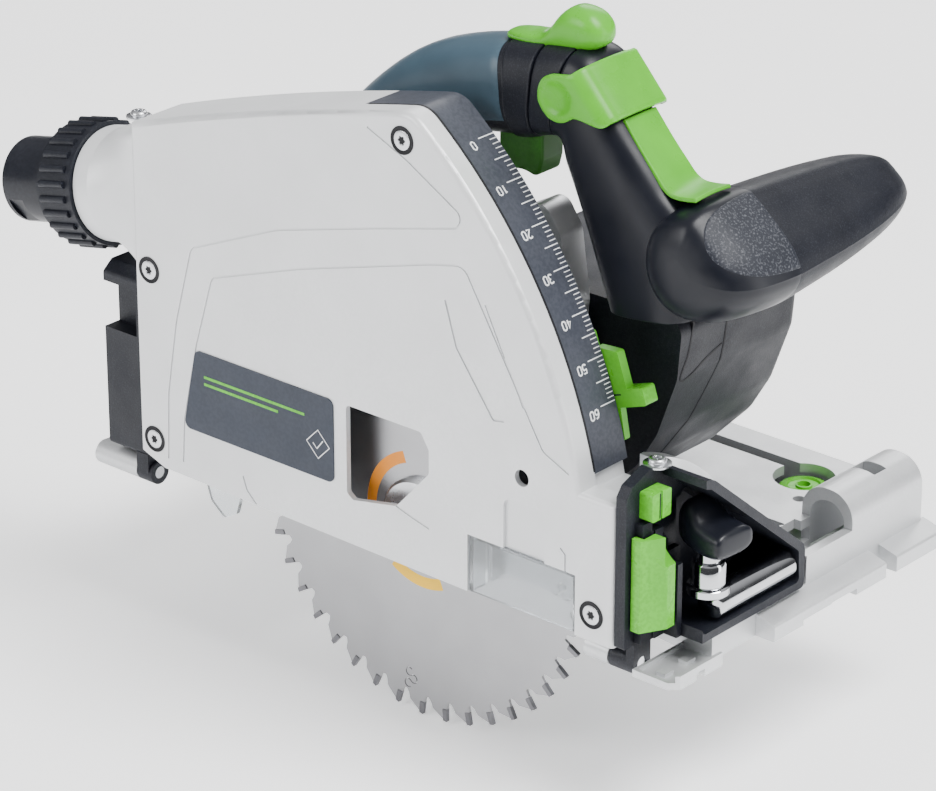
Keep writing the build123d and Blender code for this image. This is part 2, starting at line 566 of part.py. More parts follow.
with BuildPart() as depth_stop:
    reach = [polar(203, 14.5, PIVOT), polar(214, 14.5, PIVOT), polar(214, 26.0, PIVOT),
             polar(207, 27.5, PIVOT),
             polar(203, 26.0, PIVOT)]
    side_slab(reach, GUARD_BACK + 0.4, GUARD_BACK + 3.4, radius=1.2)
    side_slab([polar(200, 18.2, PIVOT), polar(215, 18.2, PIVOT), polar(215, 21.5, PIVOT),
               polar(200, 21.5, PIVOT)],
              GUARD_BACK + 3.4, GUARD_BACK + 7.4, radius=1.0)
    # raised plate in front of the scale, press tab and foot
    side_slab([polar(213, 24.6, PIVOT), polar(223.5, 23.6, PIVOT), polar(223, 18.6, PIVOT),
               polar(213, 18.2, PIVOT)],
              GUARD_BACK + 0.4, GUARD_BACK + 4.4, radius=1.0)
    side_slab([polar(213, 20.0, PIVOT), polar(230.5, 19.9, PIVOT), polar(230.5, 18.2, PIVOT),
               polar(213, 18.1, PIVOT)],
              GUARD_BACK + 0.4, GUARD_BACK + 7.4, radius=1.0)
    side_slab([polar(211, 18.6, PIVOT), polar(218, 18.6, PIVOT), polar(216.5, 14.8, PIVOT),
               polar(211, 14.6, PIVOT)],
              GUARD_BACK + 0.4, GUARD_BACK + 3.4, radius=1.0)
save(depth_stop, "depth_stop")

FEELER = (-103.0, 16.0)
with BuildPart() as kickback_feeler:
    side_slab([(-112, 13), (-108, 1), (-101, -4.5), (-94, -1), (-90, 13), (-98, 20), (-108, 20)], -6.5, -4.5,
              radius=2)
    cross_disc(FEELER, 1.6 + RUN_GAP, -8, -3, mode=Mode.SUBTRACT)
save(kickback_feeler, "kickback_feeler")

with BuildPart() as feeler_pin:
    cross_disc(FEELER, 1.6, COVER_FACE + WALL, -3)
save(feeler_pin, "feeler_pin")

with BuildPart() as pivot_pin:
    cross_disc(PIVOT, 5, 4.5, 30.6)
    cross_disc(PIVOT, 8, 30.6, 34)
save(pivot_pin, "pivot_pin")

# ---- dust spout, which swivels on the neck ----
with BuildPart() as dust_collar:
    with BuildSketch(spout_plane(8.5)):
        Circle(25.0)
        Circle(HOSE_RADIUS, mode=Mode.SUBTRACT)
    extrude(amount=18.5)
    with Locations(spout_plane(18.5)):
        with PolarLocations(25.0, 26):
            Cylinder(1.5, 14)
    with BuildSketch(spout_plane(27)):
        Circle(23.5)
        Circle(HOSE_RADIUS, mode=Mode.SUBTRACT)
    extrude(amount=2.5)
save(dust_collar, "dust_collar")

with BuildPart() as dust_spout:
    with BuildSketch(spout_plane(1)):
        Circle(20.6)
        Circle(HOSE_BORE, mode=Mode.SUBTRACT)
    extrude(amount=7)
    # slimmer inside the collar, so that only the free end takes a hose
    with BuildSketch(spout_plane(8)):
        Circle(HOSE_RADIUS - 0.4)
        Circle(HOSE_BORE, mode=Mode.SUBTRACT)
    extrude(amount=22)
    with BuildSketch(spout_plane(30)):
        Circle(HOSE_RADIUS)
        Circle(HOSE_BORE, mode=Mode.SUBTRACT)
    extrude(amount=27)
    with Locations(spout_plane(51)):
        with PolarLocations(HOSE_RADIUS, 2, start_angle=-35):
            Box(2.6, 13, 8, mode=Mode.SUBTRACT)
save(dust_spout, "dust_spout")

# =====================================================================
# Saw unit: plunges about the pivot
# =====================================================================
GEAR_ROOF = 38.0
MOTOR_START, MOTOR_SEAM, MOTOR_END = 43.0, 80.0, 117.0
MOTOR_BORE = 38.2
MOTOR_OUTLINE = [(90, 117.6), (88, 94), (79, 69), (70, 54), (50, 33.5), (30, 27.6), (4, 30), (-11, 48),
                 (-14, 72),
                 (-14, 117.6)]

with BuildPart() as gear_housing:
    disc_hull([(ARBOR, 21.8), (MOTOR, 23.0), ((-32, 62), 14.0)], UNIT_FRONT, GEAR_ROOF)
    disc_hull([(PIVOT, 11.5), ((-96, 30), 12.0)], UNIT_FRONT, 30.0)
    disc_hull([((-96, 30), 12.0), ((-30, 52), 22.0)], UNIT_FRONT, 30.0)
    # tower that the handle is screwed to
    side_slab([(-8, 80), (-8, 116), (20, 148), (38, 158), (46, 146), (50, 118), (46, 80)], 25.0, GEAR_ROOF,
              radius=6)
    # gear chamber, bearing seat and bores
    disc_hull([(ARBOR, 19.0), (IDLER, 17.6)], GEAR_LOW - 1, GEAR_ROOF + 1, mode=Mode.SUBTRACT)
    disc_hull([(IDLER, 17.6), (MOTOR, 8.0)], GEAR_LOW - 1, GEAR_ROOF + 1, mode=Mode.SUBTRACT)
    cross_disc(ARBOR, 14.0, 19.0, GEAR_LOW, mode=Mode.SUBTRACT)
    cross_disc(ARBOR, 9.8, UNIT_FRONT - 1, 20, mode=Mode.SUBTRACT)
    cross_disc(IDLER, 4.0, 21, GEAR_LOW, mode=Mode.SUBTRACT)
    cross_disc(PIVOT, 5.0 + RUN_GAP, UNIT_FRONT - 1, 31, mode=Mode.SUBTRACT)
save(gear_housing, "gear_housing")

with BuildPart() as gearbox_flange:
    disc_hull([(ARBOR, 21.8), (MOTOR, 23.0), ((-32, 62), 14.0)], GEAR_ROOF, MOTOR_START)
    cross_disc(ARBOR, 11.0, GEAR_ROOF - 1, MOTOR_START - 1, mode=Mode.SUBTRACT)
    cross_disc(MOTOR, 9.5, GEAR_ROOF - 1, MOTOR_START + 1, mode=Mode.SUBTRACT)
    cross_disc(IDLER, 4.0, GEAR_ROOF - 1, MOTOR_START - 1, mode=Mode.SUBTRACT)
save(gearbox_flange, "gearbox_flange")


def bearing(centre, inner, outer, y_low, y_high):
    """Sealed ball bearing drawn as one ring with a groove on each face."""
    cross_disc(centre, outer, y_low, y_high)
    middle = (inner + outer) / 2
    for low, high in ((y_low - 1, y_low + 0.6), (y_high - 0.6, y_high + 1)):
        cross_disc(centre, middle + 1.6, low, high, mode=Mode.SUBTRACT)
        cross_disc(centre, middle - 1.6, max(low, y_low), min(high, y_high))
    cross_disc(centre, inner, y_low - 1, y_high + 1, mode=Mode.SUBTRACT)


with BuildPart() as ball_bearings:
    bearing(ARBOR, 6.0 + RUN_GAP, 14.0, 19.0, 26.8)
    bearing(ARBOR, 5.0 + RUN_GAP, 11.0, GEAR_ROOF, MOTOR_START - 1.0)
    bearing(MOTOR, 4.0 + RUN_GAP, 9.5, GEAR_ROOF, MOTOR_START)
    bearing(MOTOR, 4.0 + RUN_GAP, 9.5, 104, 110)
save(ball_bearings, "ball_bearings")

with BuildPart() as idler_pin:
    cross_disc(IDLER, 4.0, 21.0, MOTOR_START - 1.0)
save(idler_pin, "idler_pin")

with BuildPart() as motor_housing:
    side_slab(MOTOR_OUTLINE, MOTOR_START, MOTOR_SEAM, radius=[6, 12, 20, 20, 14, 12, 14, 14, 10, 6])
    cross_disc(MOTOR, MOTOR_BORE, MOTOR_START + 3, MOTOR_SEAM + 1, mode=Mode.SUBTRACT)
    cross_disc(MOTOR, 12, MOTOR_START - 1, MOTOR_SEAM, mode=Mode.SUBTRACT)
save(motor_housing, "motor_housing")

with BuildPart() as motor_end_cap:
    side_slab(MOTOR_OUTLINE, MOTOR_SEAM, MOTOR_END, radius=[6, 12, 20, 20, 14, 12, 14, 14, 10, 6])
    fillet(motor_end_cap.edges().group_by(Axis.Y)[-1], 5)
    cross_disc(MOTOR, MOTOR_BORE, MOTOR_SEAM - 1, 104, mode=Mode.SUBTRACT)
    cross_disc(MOTOR, 9.5, 103, 110, mode=Mode.SUBTRACT)
    # air slots in the end face
    for step in range(12):
        inner, outer = polar(16, 30 * step, MOTOR), polar(33, 30 * step, MOTOR)
        with BuildSketch(Plane.XZ.offset(-MOTOR_END - 1)) as slot:
            with BuildLine() as spoke:
                Line(inner, outer)
            trace(spoke.line, line_width=3.4)
        extrude(slot.sketch, amount=16, mode=Mode.SUBTRACT)
save(motor_end_cap, "motor_end_cap")

with BuildPart() as motor_stator:
    cross_disc(MOTOR, 38.0, 54, 92)
    cross_disc(MOTOR, 21.0, 53, 93, mode=Mode.SUBTRACT)
    with Locations(Plane(origin=(MOTOR[0], 73, MOTOR[1]), z_dir=(0, 1, 0))):
        with PolarLocations(24.5, 12):
            Box(9, 4, 40, mode=Mode.SUBTRACT)
save(motor_stator, "motor_stator")

with BuildPart() as motor_windings:
    for y_low, y_high in ((47.5, 53.8), (92.2, 95.4)):
        cross_disc(MOTOR, 34.0, y_low, y_high)
        cross_disc(MOTOR, 23.0, y_low - 0.5, y_high + 0.5, mode=Mode.SUBTRACT)
save(motor_windings, "motor_windings")

# ---- handle ----
HANDLE_LOW, HANDLE_HIGH = HANDLE_Y - HANDLE_HALF, HANDLE_Y + HANDLE_HALF
FRONT_SHELL = [(-8, 208), (24, 214), (49, 215.5), (65, 196.5), (85, 174.5), (98, 168), (100, 118), (64, 118),
               (57, 136), (47, 160), (40, 180), (34, 184), (-8, 176)]
REAR_SHELL = [(-8, 208), (-34, 198.5), (-62, 176), (-82, 148), (-92, 118), (-96, 90), (-94, 62),
              (-51.5, 62), (-51.5, 84),
              (-16, 92), (-16, 118), (-58, 118), (-62, 124), (-56, 142), (-40, 160), (-8, 176)]
FRONT_ROUNDING = [0, 20, 8, 30, 12, 0, 0, 6, 12, 12, 5, 5, 0]
REAR_ROUNDING = [0, 30, 30, 30, 20, 12, 8, 4, 6, 8, 0, 6, 5, 10, 14, 0]
SHELL_SEAM = -8.0
LEVER_PIVOT = (43.0, 199.0)
DIAL = (-66.0, 92.0)
TRIGGER_SLOT = (0.0, 33.0)


def shell_half(points, rounding, y_low, y_high, opens_high):
    """Half of a moulded handle: rounded outer edges, hollow from the parting plane."""
    with BuildPart() as half:
        side_slab(points, y_low, y_high, radius=rounding)
        outer = half.faces().sort_by(Axis.Y)[0 if opens_high else -1]
        outer_edges = [edge for edge in outer.edges() if abs(edge.center().X - SHELL_SEAM) > 0.5]
        fillet(outer_edges, 9.0)
        with BuildSketch(Plane.XZ.offset(-y_high)) as pocket:
            with BuildLine():
                FilletPolyline(*points, radius=rounding, close=True)
            make_face()
            offset(amount=-4, kind=Kind.INTERSECTION)
        if opens_high:
            extrude(pocket.sketch, amount=y_high - y_low - 4, mode=Mode.SUBTRACT)
        else:
            moved = pocket.sketch.moved(Location((0, -4, 0)))
            extrude(moved, amount=y_high - y_low - 4, mode=Mode.SUBTRACT)
        block(*TRIGGER_SLOT, HANDLE_Y - 8, HANDLE_Y + 8, 160, 190, mode=Mode.SUBTRACT)
        block(5.5, 47.5, HANDLE_Y - 8.4, HANDLE_Y + 8.4, 205, 218, mode=Mode.SUBTRACT)
        cross_disc(LEVER_PIVOT, 2.5, HANDLE_LOW - 1, HANDLE_HIGH + 1, mode=Mode.SUBTRACT)
        cross_disc(DIAL, 2.5 + RUN_GAP, HANDLE_HIGH - 5, HANDLE_HIGH + 1, mode=Mode.SUBTRACT)
    return half


for side, low, high, opens_high in (("left", HANDLE_LOW, HANDLE_Y, True),
                                    ("right", HANDLE_Y, HANDLE_HIGH, False)):
    save(shell_half(FRONT_SHELL, FRONT_ROUNDING, low, high, opens_high), f"front_handle_{side}")
    save(shell_half(REAR_SHELL, REAR_ROUNDING, low, high, opens_high), f"rear_handle_{side}")

POD_SEAM = 58.5
POD_INNER = [(21.0, 103, 147.5, 12.5, 13), (26.0, 104, 147.5, 19, 18.5), (36.0, 105, 147.3, 23.2, 22.5),
             (POD_SEAM, 106.8, 147.2, 24.6, 24)]
POD_OUTER = [(POD_SEAM + 0.3, 106.8, 147.2, 24.4, 23.8), (90.0, 107.5, 148, 22.6, 21.4),
             (120.0, 108.6, 149.3, 18.6, 17.8),
             (134.0, 109.2, 149.8, 14.2, 13.4), (141.5, 109.5, 150, 9.6, 9.0), (145.0, 109.5, 150, 5.5, 5.2)]


def pod(stations, inset=0.0):
    """Sections of the front grip: one ellipse at each station along Y."""
    faces = []
    for y, x, z, half_width, half_height in stations:
        with BuildSketch(Plane.XZ.offset(-y)) as section:
            with Locations((x, z)):
                Ellipse(half_width - inset, half_height - inset)
        faces.append(section.sketch)
    return faces


with BuildPart() as front_grip_inner:
    loft(sections=pod(POD_INNER))
    block(60, 100.3, 20, 60, 100, 200, mode=Mode.SUBTRACT)
save(front_grip_inner, "front_grip_inner")

with BuildPart() as front_grip_outer:
    loft(sections=pod(POD_OUTER))
    loft(sections=pod(POD_OUTER[:3], 3.5), mode=Mode.SUBTRACT)
save(front_grip_outer, "front_grip_outer")

with BuildPart() as trigger:
    side_slab([(6, 182), (6, 166), (10, 158), (29, 162), (31, 170), (31, 182)], HANDLE_Y - 7, HANDLE_Y + 7,
              radius=[1, 3, 3, 2, 2, 1])
save(trigger, "trigger")

with BuildPart() as lock_button:
    side_slab([(6, 208), (6, 216.5), (26, 221), (34, 229), (46, 230.5), (54, 226), (57, 219),
               (47, 218.6), (47, 208)],
              HANDLE_Y - 8, HANDLE_Y + 8, radius=[1, 3, 6, 6, 6, 3, 1, 0.5, 1])
save(lock_button, "lock_button")

with BuildPart() as lever_pin:
    cross_disc(LEVER_PIVOT, 2.5, HANDLE_LOW - 0.4, HANDLE_HIGH + 0.4)
save(lever_pin, "lever_pin")

with BuildPart() as change_lever:
    cheek = [(38, 190), (34, 199), (38, 207), (48, 210), (53.2, 214.3), (69.5, 196), (66, 190)]
    side_slab(cheek, HANDLE_LOW - 3.4, HANDLE_HIGH + 3.4, radius=[3, 4, 3, 3, 1, 2, 2])
    side_slab([(30, 185), (30, 216), (49.5, 216.8), (66.2, 197.2), (76, 186.4), (76, 185)], HANDLE_LOW - 0.4,
              HANDLE_HIGH + 0.4, radius=[1, 1, 6, 0, 0, 0], mode=Mode.SUBTRACT)
    cross_disc(LEVER_PIVOT, 2.5 + RUN_GAP, HANDLE_LOW - 0.5, HANDLE_HIGH + 0.5, mode=Mode.SUBTRACT)
save(change_lever, "change_lever")

with BuildPart() as column_inlay:
    side_slab([(70.6, 190.5), (71.6, 191.5), (86.2, 175.6), (97.5, 169.5), (96.9, 168.7), (85.2, 174.6)],
              HANDLE_Y - 9, HANDLE_Y + 9, radius=0.3)
save(column_inlay, "column_inlay")

with BuildPart() as electronics_module:
    block(-86, -56, HANDLE_Y - 10, HANDLE_Y + 10, 68, 110)
save(electronics_module, "electronics_module")

with BuildPart() as speed_dial:
    cross_disc(DIAL, 9.0, HANDLE_HIGH + 0.3, HANDLE_HIGH + 5.0)
    cross_disc(DIAL, 2.5, HANDLE_HIGH - 3.9, HANDLE_HIGH + 0.3)
    with Locations(Plane(origin=(DIAL[0], HANDLE_HIGH + 3, DIAL[1]), z_dir=(0, 1, 0))):
        with PolarLocations(9.4, 24):
            Cylinder(0.7, 8, mode=Mode.SUBTRACT)
save(speed_dial, "speed_dial")

INLET = (HANDLE_Y, 100.0)
with BuildPart() as power_inlet:
    long_disc(INLET, 11.0, -112, -96.2)
    long_disc(INLET, 8.5, -113, -99, mode=Mode.SUBTRACT)
    long_disc(INLET, 3.0, -99, -109)
    for step in (0, 180):
        long_disc(polar(5.6, step, INLET), 0.9, -99.5, -108.0)
save(power_inlet, "power_inlet")

# =====================================================================
# Rotating pieces
# =====================================================================
def tooth_point(index, lead, radius):
    """Point near a tooth: lead is the angle ahead of the tooth's tip, in degrees."""
    return polar(radius, FIRST_TOOTH + index * 360 / TEETH + lead, ARBOR)


with BuildPart() as saw_blade:
    rim = []
    for index in range(TEETH):
        for lead, radius in ((-4.9, 79.6), (-1.3, 83.2), (-1.1, 78.6), (0.5, 78.6), (0.9, 76.2),
                             (2.2, 75.6), (3.1, 77.2)):
            rim.append(tooth_point(index, lead, radius))
    with BuildSketch(Plane.XZ.offset(-BLADE_PLATE / 2)):
        with BuildLine():
            Polyline(*rim, close=True)
        make_face()
        with Locations(ARBOR):
            Circle(BLADE_BORE / 2, mode=Mode.SUBTRACT)
        for quarter in range(4):
            turn = 265 + 90 * quarter
            with BuildLine(mode=Mode.PRIVATE) as wave:
                for step in range(3):
                    low = polar(66.5 + 2.6 * step, turn, ARBOR)
                    high = polar(69.1 + 2.6 * step, turn, ARBOR)
                    bulge = polar(67.8 + 2.6 * step, turn + (2.4 if step % 2 else -2.4), ARBOR)
                    ThreePointArc(low, bulge, high)
            trace(wave.edges(), line_width=0.5, mode=Mode.SUBTRACT)
    extrude(amount=BLADE_PLATE)
save(saw_blade, "saw_blade")

with BuildPart() as carbide_tips:
    with BuildSketch(Plane.XZ.offset(-KERF / 2)):
        for index in range(TEETH):
            with BuildLine():
                Polyline(*[tooth_point(index, lead, radius) for lead, radius in
                           ((-1.27, 83.6), (-0.05, 84.0), (0.45, 78.7), (-1.05, 78.7))], close=True)
            make_face()
    extrude(amount=KERF)
save(carbide_tips, "carbide_tips")

with BuildPart() as inner_flange:
    cross_disc(ARBOR, 20.0, BLADE_PLATE / 2, 4.6)
    cross_disc(ARBOR, 9.2, 4.6, 18.6)
    cross_disc(ARBOR, BLADE_BORE / 2 - 0.02, -BLADE_PLATE / 2, BLADE_PLATE / 2)
    cross_disc(ARBOR, 6.0, -2, 20, mode=Mode.SUBTRACT)
save(inner_flange, "inner_flange")

with BuildPart() as outer_flange:
    cross_disc(ARBOR, 18.0, -4.0, -BLADE_PLATE / 2)
    chamfer(outer_flange.edges().group_by(Axis.Y)[0], 1.2)
    cross_disc(ARBOR, 4.1, -5, 0, mode=Mode.SUBTRACT)
save(outer_flange, "outer_flange")

with BuildPart() as arbor_screw:
    cross_disc(ARBOR, 7.5, -9.0, -4.0)
    chamfer(arbor_screw.edges().group_by(Axis.Y)[0], 0.8)
    cross_disc(ARBOR, 4.0, -4.0, 12)
    with BuildSketch(Plane.XZ.offset(9.5)):
        with Locations(ARBOR):
            RegularPolygon(3.0, 6)
    extrude(amount=-4, mode=Mode.SUBTRACT)
save(arbor_screw, "arbor_screw")

with BuildPart() as spindle:
    cross_disc(ARBOR, 6.0, -BLADE_PLATE / 2, GEAR_HIGH + 0.5)
    cross_disc(ARBOR, 5.0, GEAR_HIGH + 0.5, MOTOR_START - 1.2)
    cross_disc(ARBOR, 4.0, -2, 12, mode=Mode.SUBTRACT)
save(spindle, "spindle")


def gear_points(teeth, turn, centre):
    """Outline of a spur gear with involute flanks and a little backlash."""
    pitch = GEAR_MODULE * teeth / 2
    root, tip, base = pitch - 1.2 * GEAR_MODULE, pitch + 0.85 * GEAR_MODULE, pitch * cos(radians(20))
    half_tooth = pi / (2 * teeth) - 0.12 / pitch

    def half_angle(radius):
        roll = acos(min(1.0, base / radius))
        pressure = radians(20)
        return half_tooth + (tan(pressure) - pressure) - (tan(roll) - roll)

    radii = [root] + [max(base, root + 0.3) + (tip - max(base, root + 0.3)) * step / 3 for step in range(4)]
    points = []
    for index in range(teeth):
        middle = turn + 2 * pi * index / teeth
        flank = [(radius, half_angle(max(radius, base))) for radius in radii]
        points += [polar(radius, degrees(middle - half), centre) for radius, half in flank]
        points += [polar(radius, degrees(middle + half), centre) for radius, half in reversed(flank)]
    return points


def gear_slab(teeth, turn, centre, y_low, y_high):
    """Spur gear between two Y levels."""
    with BuildSketch(Plane.XZ.offset(-y_high)) as outline:
        with BuildLine():
            Polyline(*gear_points(teeth, turn, centre), close=True)
        make_face()
    extrude(outline.sketch, amount=y_high - y_low)


with BuildPart() as driven_gear:
    gear_slab(ARBOR_TEETH, GEAR_TILT, ARBOR, GEAR_LOW, GEAR_HIGH)
    cross_disc(ARBOR, 6.0, GEAR_LOW - 1, GEAR_HIGH + 1, mode=Mode.SUBTRACT)
save(driven_gear, "driven_gear")

with BuildPart() as idler_gear:
    gear_slab(IDLER_TEETH, GEAR_TILT + pi + pi / IDLER_TEETH, IDLER, GEAR_LOW, GEAR_HIGH)
    cross_disc(IDLER, 4.0 + RUN_GAP, GEAR_LOW - 1, GEAR_HIGH + 1, mode=Mode.SUBTRACT)
save(idler_gear, "idler_gear")

with BuildPart() as rotor_shaft:
    gear_slab(PINION_TEETH, GEAR_TILT + pi, MOTOR, GEAR_LOW, GEAR_HIGH)
    cross_disc(MOTOR, 4.0, GEAR_HIGH, 109.5)
save(rotor_shaft, "rotor_shaft")

with BuildPart() as motor_rotor:
    cross_disc(MOTOR, 20.0, 55, 91)
    cross_disc(MOTOR, 4.0, 54, 92, mode=Mode.SUBTRACT)
save(motor_rotor, "motor_rotor")

with BuildPart() as cooling_fan:
    cross_disc(MOTOR, 34.0, 96.5, 97.7)
    cross_disc(MOTOR, 9.0, 97.7, 102.5)
    with Locations(Plane(origin=(MOTOR[0], 100, MOTOR[1]), z_dir=(0, 1, 0))):
        with PolarLocations(21.0, 11):
            Box(25, 1.4, 5.0)
    cross_disc(MOTOR, 4.0, 95, 104, mode=Mode.SUBTRACT)
save(cooling_fan, "cooling_fan")
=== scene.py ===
"""Looks of the track plunge saw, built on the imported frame."""
import json
import math

import bmesh
import bpy
from mathutils import Matrix, Vector


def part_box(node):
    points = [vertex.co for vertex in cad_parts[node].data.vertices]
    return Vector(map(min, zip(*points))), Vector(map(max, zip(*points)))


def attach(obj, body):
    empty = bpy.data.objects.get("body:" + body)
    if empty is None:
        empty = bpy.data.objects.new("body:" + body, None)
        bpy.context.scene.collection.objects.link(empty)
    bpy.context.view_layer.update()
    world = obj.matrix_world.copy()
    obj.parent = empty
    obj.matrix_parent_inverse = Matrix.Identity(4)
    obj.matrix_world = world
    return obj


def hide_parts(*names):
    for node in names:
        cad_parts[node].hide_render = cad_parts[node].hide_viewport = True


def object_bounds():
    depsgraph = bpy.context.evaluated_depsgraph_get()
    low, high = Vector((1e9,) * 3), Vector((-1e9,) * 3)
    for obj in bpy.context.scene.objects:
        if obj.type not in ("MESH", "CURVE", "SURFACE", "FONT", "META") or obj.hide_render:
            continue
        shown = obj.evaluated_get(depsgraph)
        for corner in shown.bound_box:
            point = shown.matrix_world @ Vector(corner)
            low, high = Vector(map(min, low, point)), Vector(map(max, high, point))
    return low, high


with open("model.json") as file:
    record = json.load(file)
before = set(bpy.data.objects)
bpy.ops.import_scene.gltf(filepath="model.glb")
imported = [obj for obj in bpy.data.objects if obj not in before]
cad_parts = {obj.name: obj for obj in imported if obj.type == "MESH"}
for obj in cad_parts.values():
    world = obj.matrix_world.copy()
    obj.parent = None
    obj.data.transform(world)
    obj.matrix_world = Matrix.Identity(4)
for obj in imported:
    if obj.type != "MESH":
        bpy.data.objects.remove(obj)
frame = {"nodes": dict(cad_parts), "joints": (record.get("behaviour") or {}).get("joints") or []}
cad_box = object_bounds()
nodes = frame["nodes"]
joints = {joint["name"]: joint for joint in frame["joints"]}
MM = 0.001

ARBOR = Vector(joints["blade_spin"]["pos_m"])
PIVOT = Vector(joints["plunge"]["pos_m"])


# ---------------------------------------------------------------- materials
class Shader:
    """Small builder for node materials; every pattern runs on object coordinates, in metres."""

    def __init__(self, name, color, rough, metallic=0.0):
        self.material = bpy.data.materials.new(name)
        self.material.use_nodes = True
        self.tree = self.material.node_tree
        self.bsdf = self.tree.nodes["Principled BSDF"]
        self.color = color
        self.rough = rough
        self.bsdf.inputs["Base Color"].default_value = (*color, 1)
        self.bsdf.inputs["Roughness"].default_value = rough
        self.bsdf.inputs["Metallic"].default_value = metallic
        self.coords = self.tree.nodes.new("ShaderNodeTexCoord").outputs["Object"]
        self.normal = None

    def node(self, kind, **values):
        made = self.tree.nodes.new(kind)
        for key, value in values.items():
            setattr(made, key, value)
        return made

    def link(self, source, target):
        self.tree.links.new(source, target)

    def noise(self, scale, detail=2.0):
        made = self.node("ShaderNodeTexNoise")
        made.inputs["Scale"].default_value = scale
        made.inputs["Detail"].default_value = detail
        self.link(self.coords, made.inputs["Vector"])
        return made.outputs["Fac"]

    def remap(self, source, low, high, to_low, to_high):
        made = self.node("ShaderNodeMapRange")
        for key, value in (("From Min", low), ("From Max", high), ("To Min", to_low), ("To Max", to_high)):
            made.inputs[key].default_value = value
        self.link(source, made.inputs["Value"])
        return made.outputs["Result"]

    def mottle(self, scale=60.0, amount=0.08):
        """Slow colour change over the surface."""
        factor = self.remap(self.noise(scale, 4.0), 0.3, 0.7, 0.0, 1.0)
        darker = [c * (1 - amount) for c in self.color]
        lighter = [min(1.0, c * (1 + amount)) for c in self.color]
        return self.blend(factor, darker, lighter)

    def blend(self, factor, low, high):
        """Mixes two colours, or a colour over what the base colour already is when low is None."""
        mix = self.node("ShaderNodeMix", data_type="RGBA")
        self.link(factor, mix.inputs["Factor"])
        target = self.bsdf.inputs["Base Color"]
        if low is None and target.is_linked:
            self.link(target.links[0].from_socket, mix.inputs["A"])
        else:
            mix.inputs["A"].default_value = (*(low or self.color), 1)
        mix.inputs["B"].default_value = (*high, 1)
        self.link(mix.outputs["Result"], target)
        return self

    def uneven_gloss(self, scale=90.0, spread=0.08):
        factor = self.noise(scale, 5.0)
        result = self.remap(factor, 0.3, 0.7, max(0.02, self.rough - spread), min(1.0, self.rough + spread))
        self.link(result, self.bsdf.inputs["Roughness"])
        return self

    def bump(self, height, distance, strength=1.0):
        made = self.node("ShaderNodeBump")
        made.inputs["Distance"].default_value = distance
        made.inputs["Strength"].default_value = strength
        self.link(height, made.inputs["Height"])
        if self.normal:
            self.link(self.normal, made.inputs["Normal"])
        self.normal = made.outputs["Normal"]
        self.link(self.normal, self.bsdf.inputs["Normal"])
        return self

    def grain(self, scale=2200.0, distance=0.00004, strength=0.6):
        return self.bump(self.noise(scale, 2.0), distance, strength)

    def edges(self, color, low=0.53, high=0.62, strength=0.6):
        """Rubbed edges, from the curvature of the mesh."""
        point = self.node("ShaderNodeNewGeometry").outputs["Pointiness"]
        worn = self.remap(point, low, high, 0.0, strength)
        breaker = self.remap(self.noise(700.0, 3.0), 0.4, 0.6, 0.2, 1.0)
        product = self.node("ShaderNodeMath", operation="MULTIPLY")
        self.link(worn, product.inputs[0])
        self.link(breaker, product.inputs[1])
        return self.blend(product.outputs["Value"], None, color)

    def dust(self, color, amount=0.25, scale=35.0):
        """Thin film of settled dust on faces that look up."""
        normal = self.node("ShaderNodeNewGeometry").outputs["Normal"]
        split = self.node("ShaderNodeSeparateXYZ")
        self.link(normal, split.inputs["Vector"])
        up = self.remap(split.outputs["Z"], 0.35, 1.0, 0.0, amount)
        patches = self.remap(self.noise(scale, 6.0), 0.42, 0.68, 0.0, 1.0)
        product = self.node("ShaderNodeMath", operation="MULTIPLY")
        self.link(up, product.inputs[0])
        self.link(patches, product.inputs[1])
        return self.blend(product.outputs["Value"], None, color)


def paint(name, color, rough=0.42, metallic=0.25):
    made = Shader(name, color, rough, metallic).mottle(40, 0.03).uneven_gloss(70, 0.06)
    made.grain(3000, 0.00003, 0.55).edges([min(1, c * 1.15) for c in color], strength=0.35)
    made.dust([c * 0.9 for c in color], 0.12)
    return made


def plastic(name, color, rough=0.5, grain=0.00005, scale=2200.0, edge=0.35):
    made = Shader(name, color, rough).mottle(55, 0.10).uneven_gloss(80, 0.07)
    made.grain(scale, grain, 0.7).edges([min(1, c * 1.8 + 0.012) for c in color], strength=edge)
    made.bsdf.inputs["Specular IOR Level"].default_value = 0.28
    made.dust([c * 0.7 + 0.03 for c in color], 0.10)
    return made


def speckle(shader, light, scale=1300.0, amount=0.5):
    """Fine pale dots on a moulded texture: the grain is real, its pale tint is a painted glint of light on
    the grain.
    """
    dots = shader.remap(shader.noise(scale, 2.0), 0.52, 0.72, 0.0, amount)
    return shader.blend(dots, None, light)


def metal(name, color, rough=0.3):
    return Shader(name, color, rough, 1.0).mottle(80, 0.06).uneven_gloss(150, 0.08)


def brushed_disc(name, color):
    """Steel turned about the arbor: highlights and fine grooves run in rings."""
    made = Shader(name, color, 0.25, 1.0).mottle(50, 0.04)
    made.bsdf.inputs["Anisotropic"].default_value = 0.75
    tangent = made.node("ShaderNodeTangent", direction_type="RADIAL", axis="Y")
    made.link(tangent.outputs["Tangent"], made.bsdf.inputs["Tangent"])
    shift = made.node("ShaderNodeVectorMath", operation="SUBTRACT")
    shift.inputs[1].default_value = ARBOR
    made.link(made.coords, shift.inputs[0])
    flat = made.node("ShaderNodeVectorMath", operation="MULTIPLY")
    flat.inputs[1].default_value = (1, 0, 1)
    made.link(shift.outputs["Vector"], flat.inputs[0])
    reach = made.node("ShaderNodeVectorMath", operation="LENGTH")
    made.link(flat.outputs["Vector"], reach.inputs[0])
    grooves = made.node("ShaderNodeTexNoise", noise_dimensions="1D")
    grooves.inputs["Scale"].default_value = 1400.0
    grooves.inputs["Detail"].default_value = 3.0
    made.link(reach.outputs["Value"], grooves.inputs["W"])
    return made.bump(grooves.outputs["Fac"], 0.00001, 0.35)


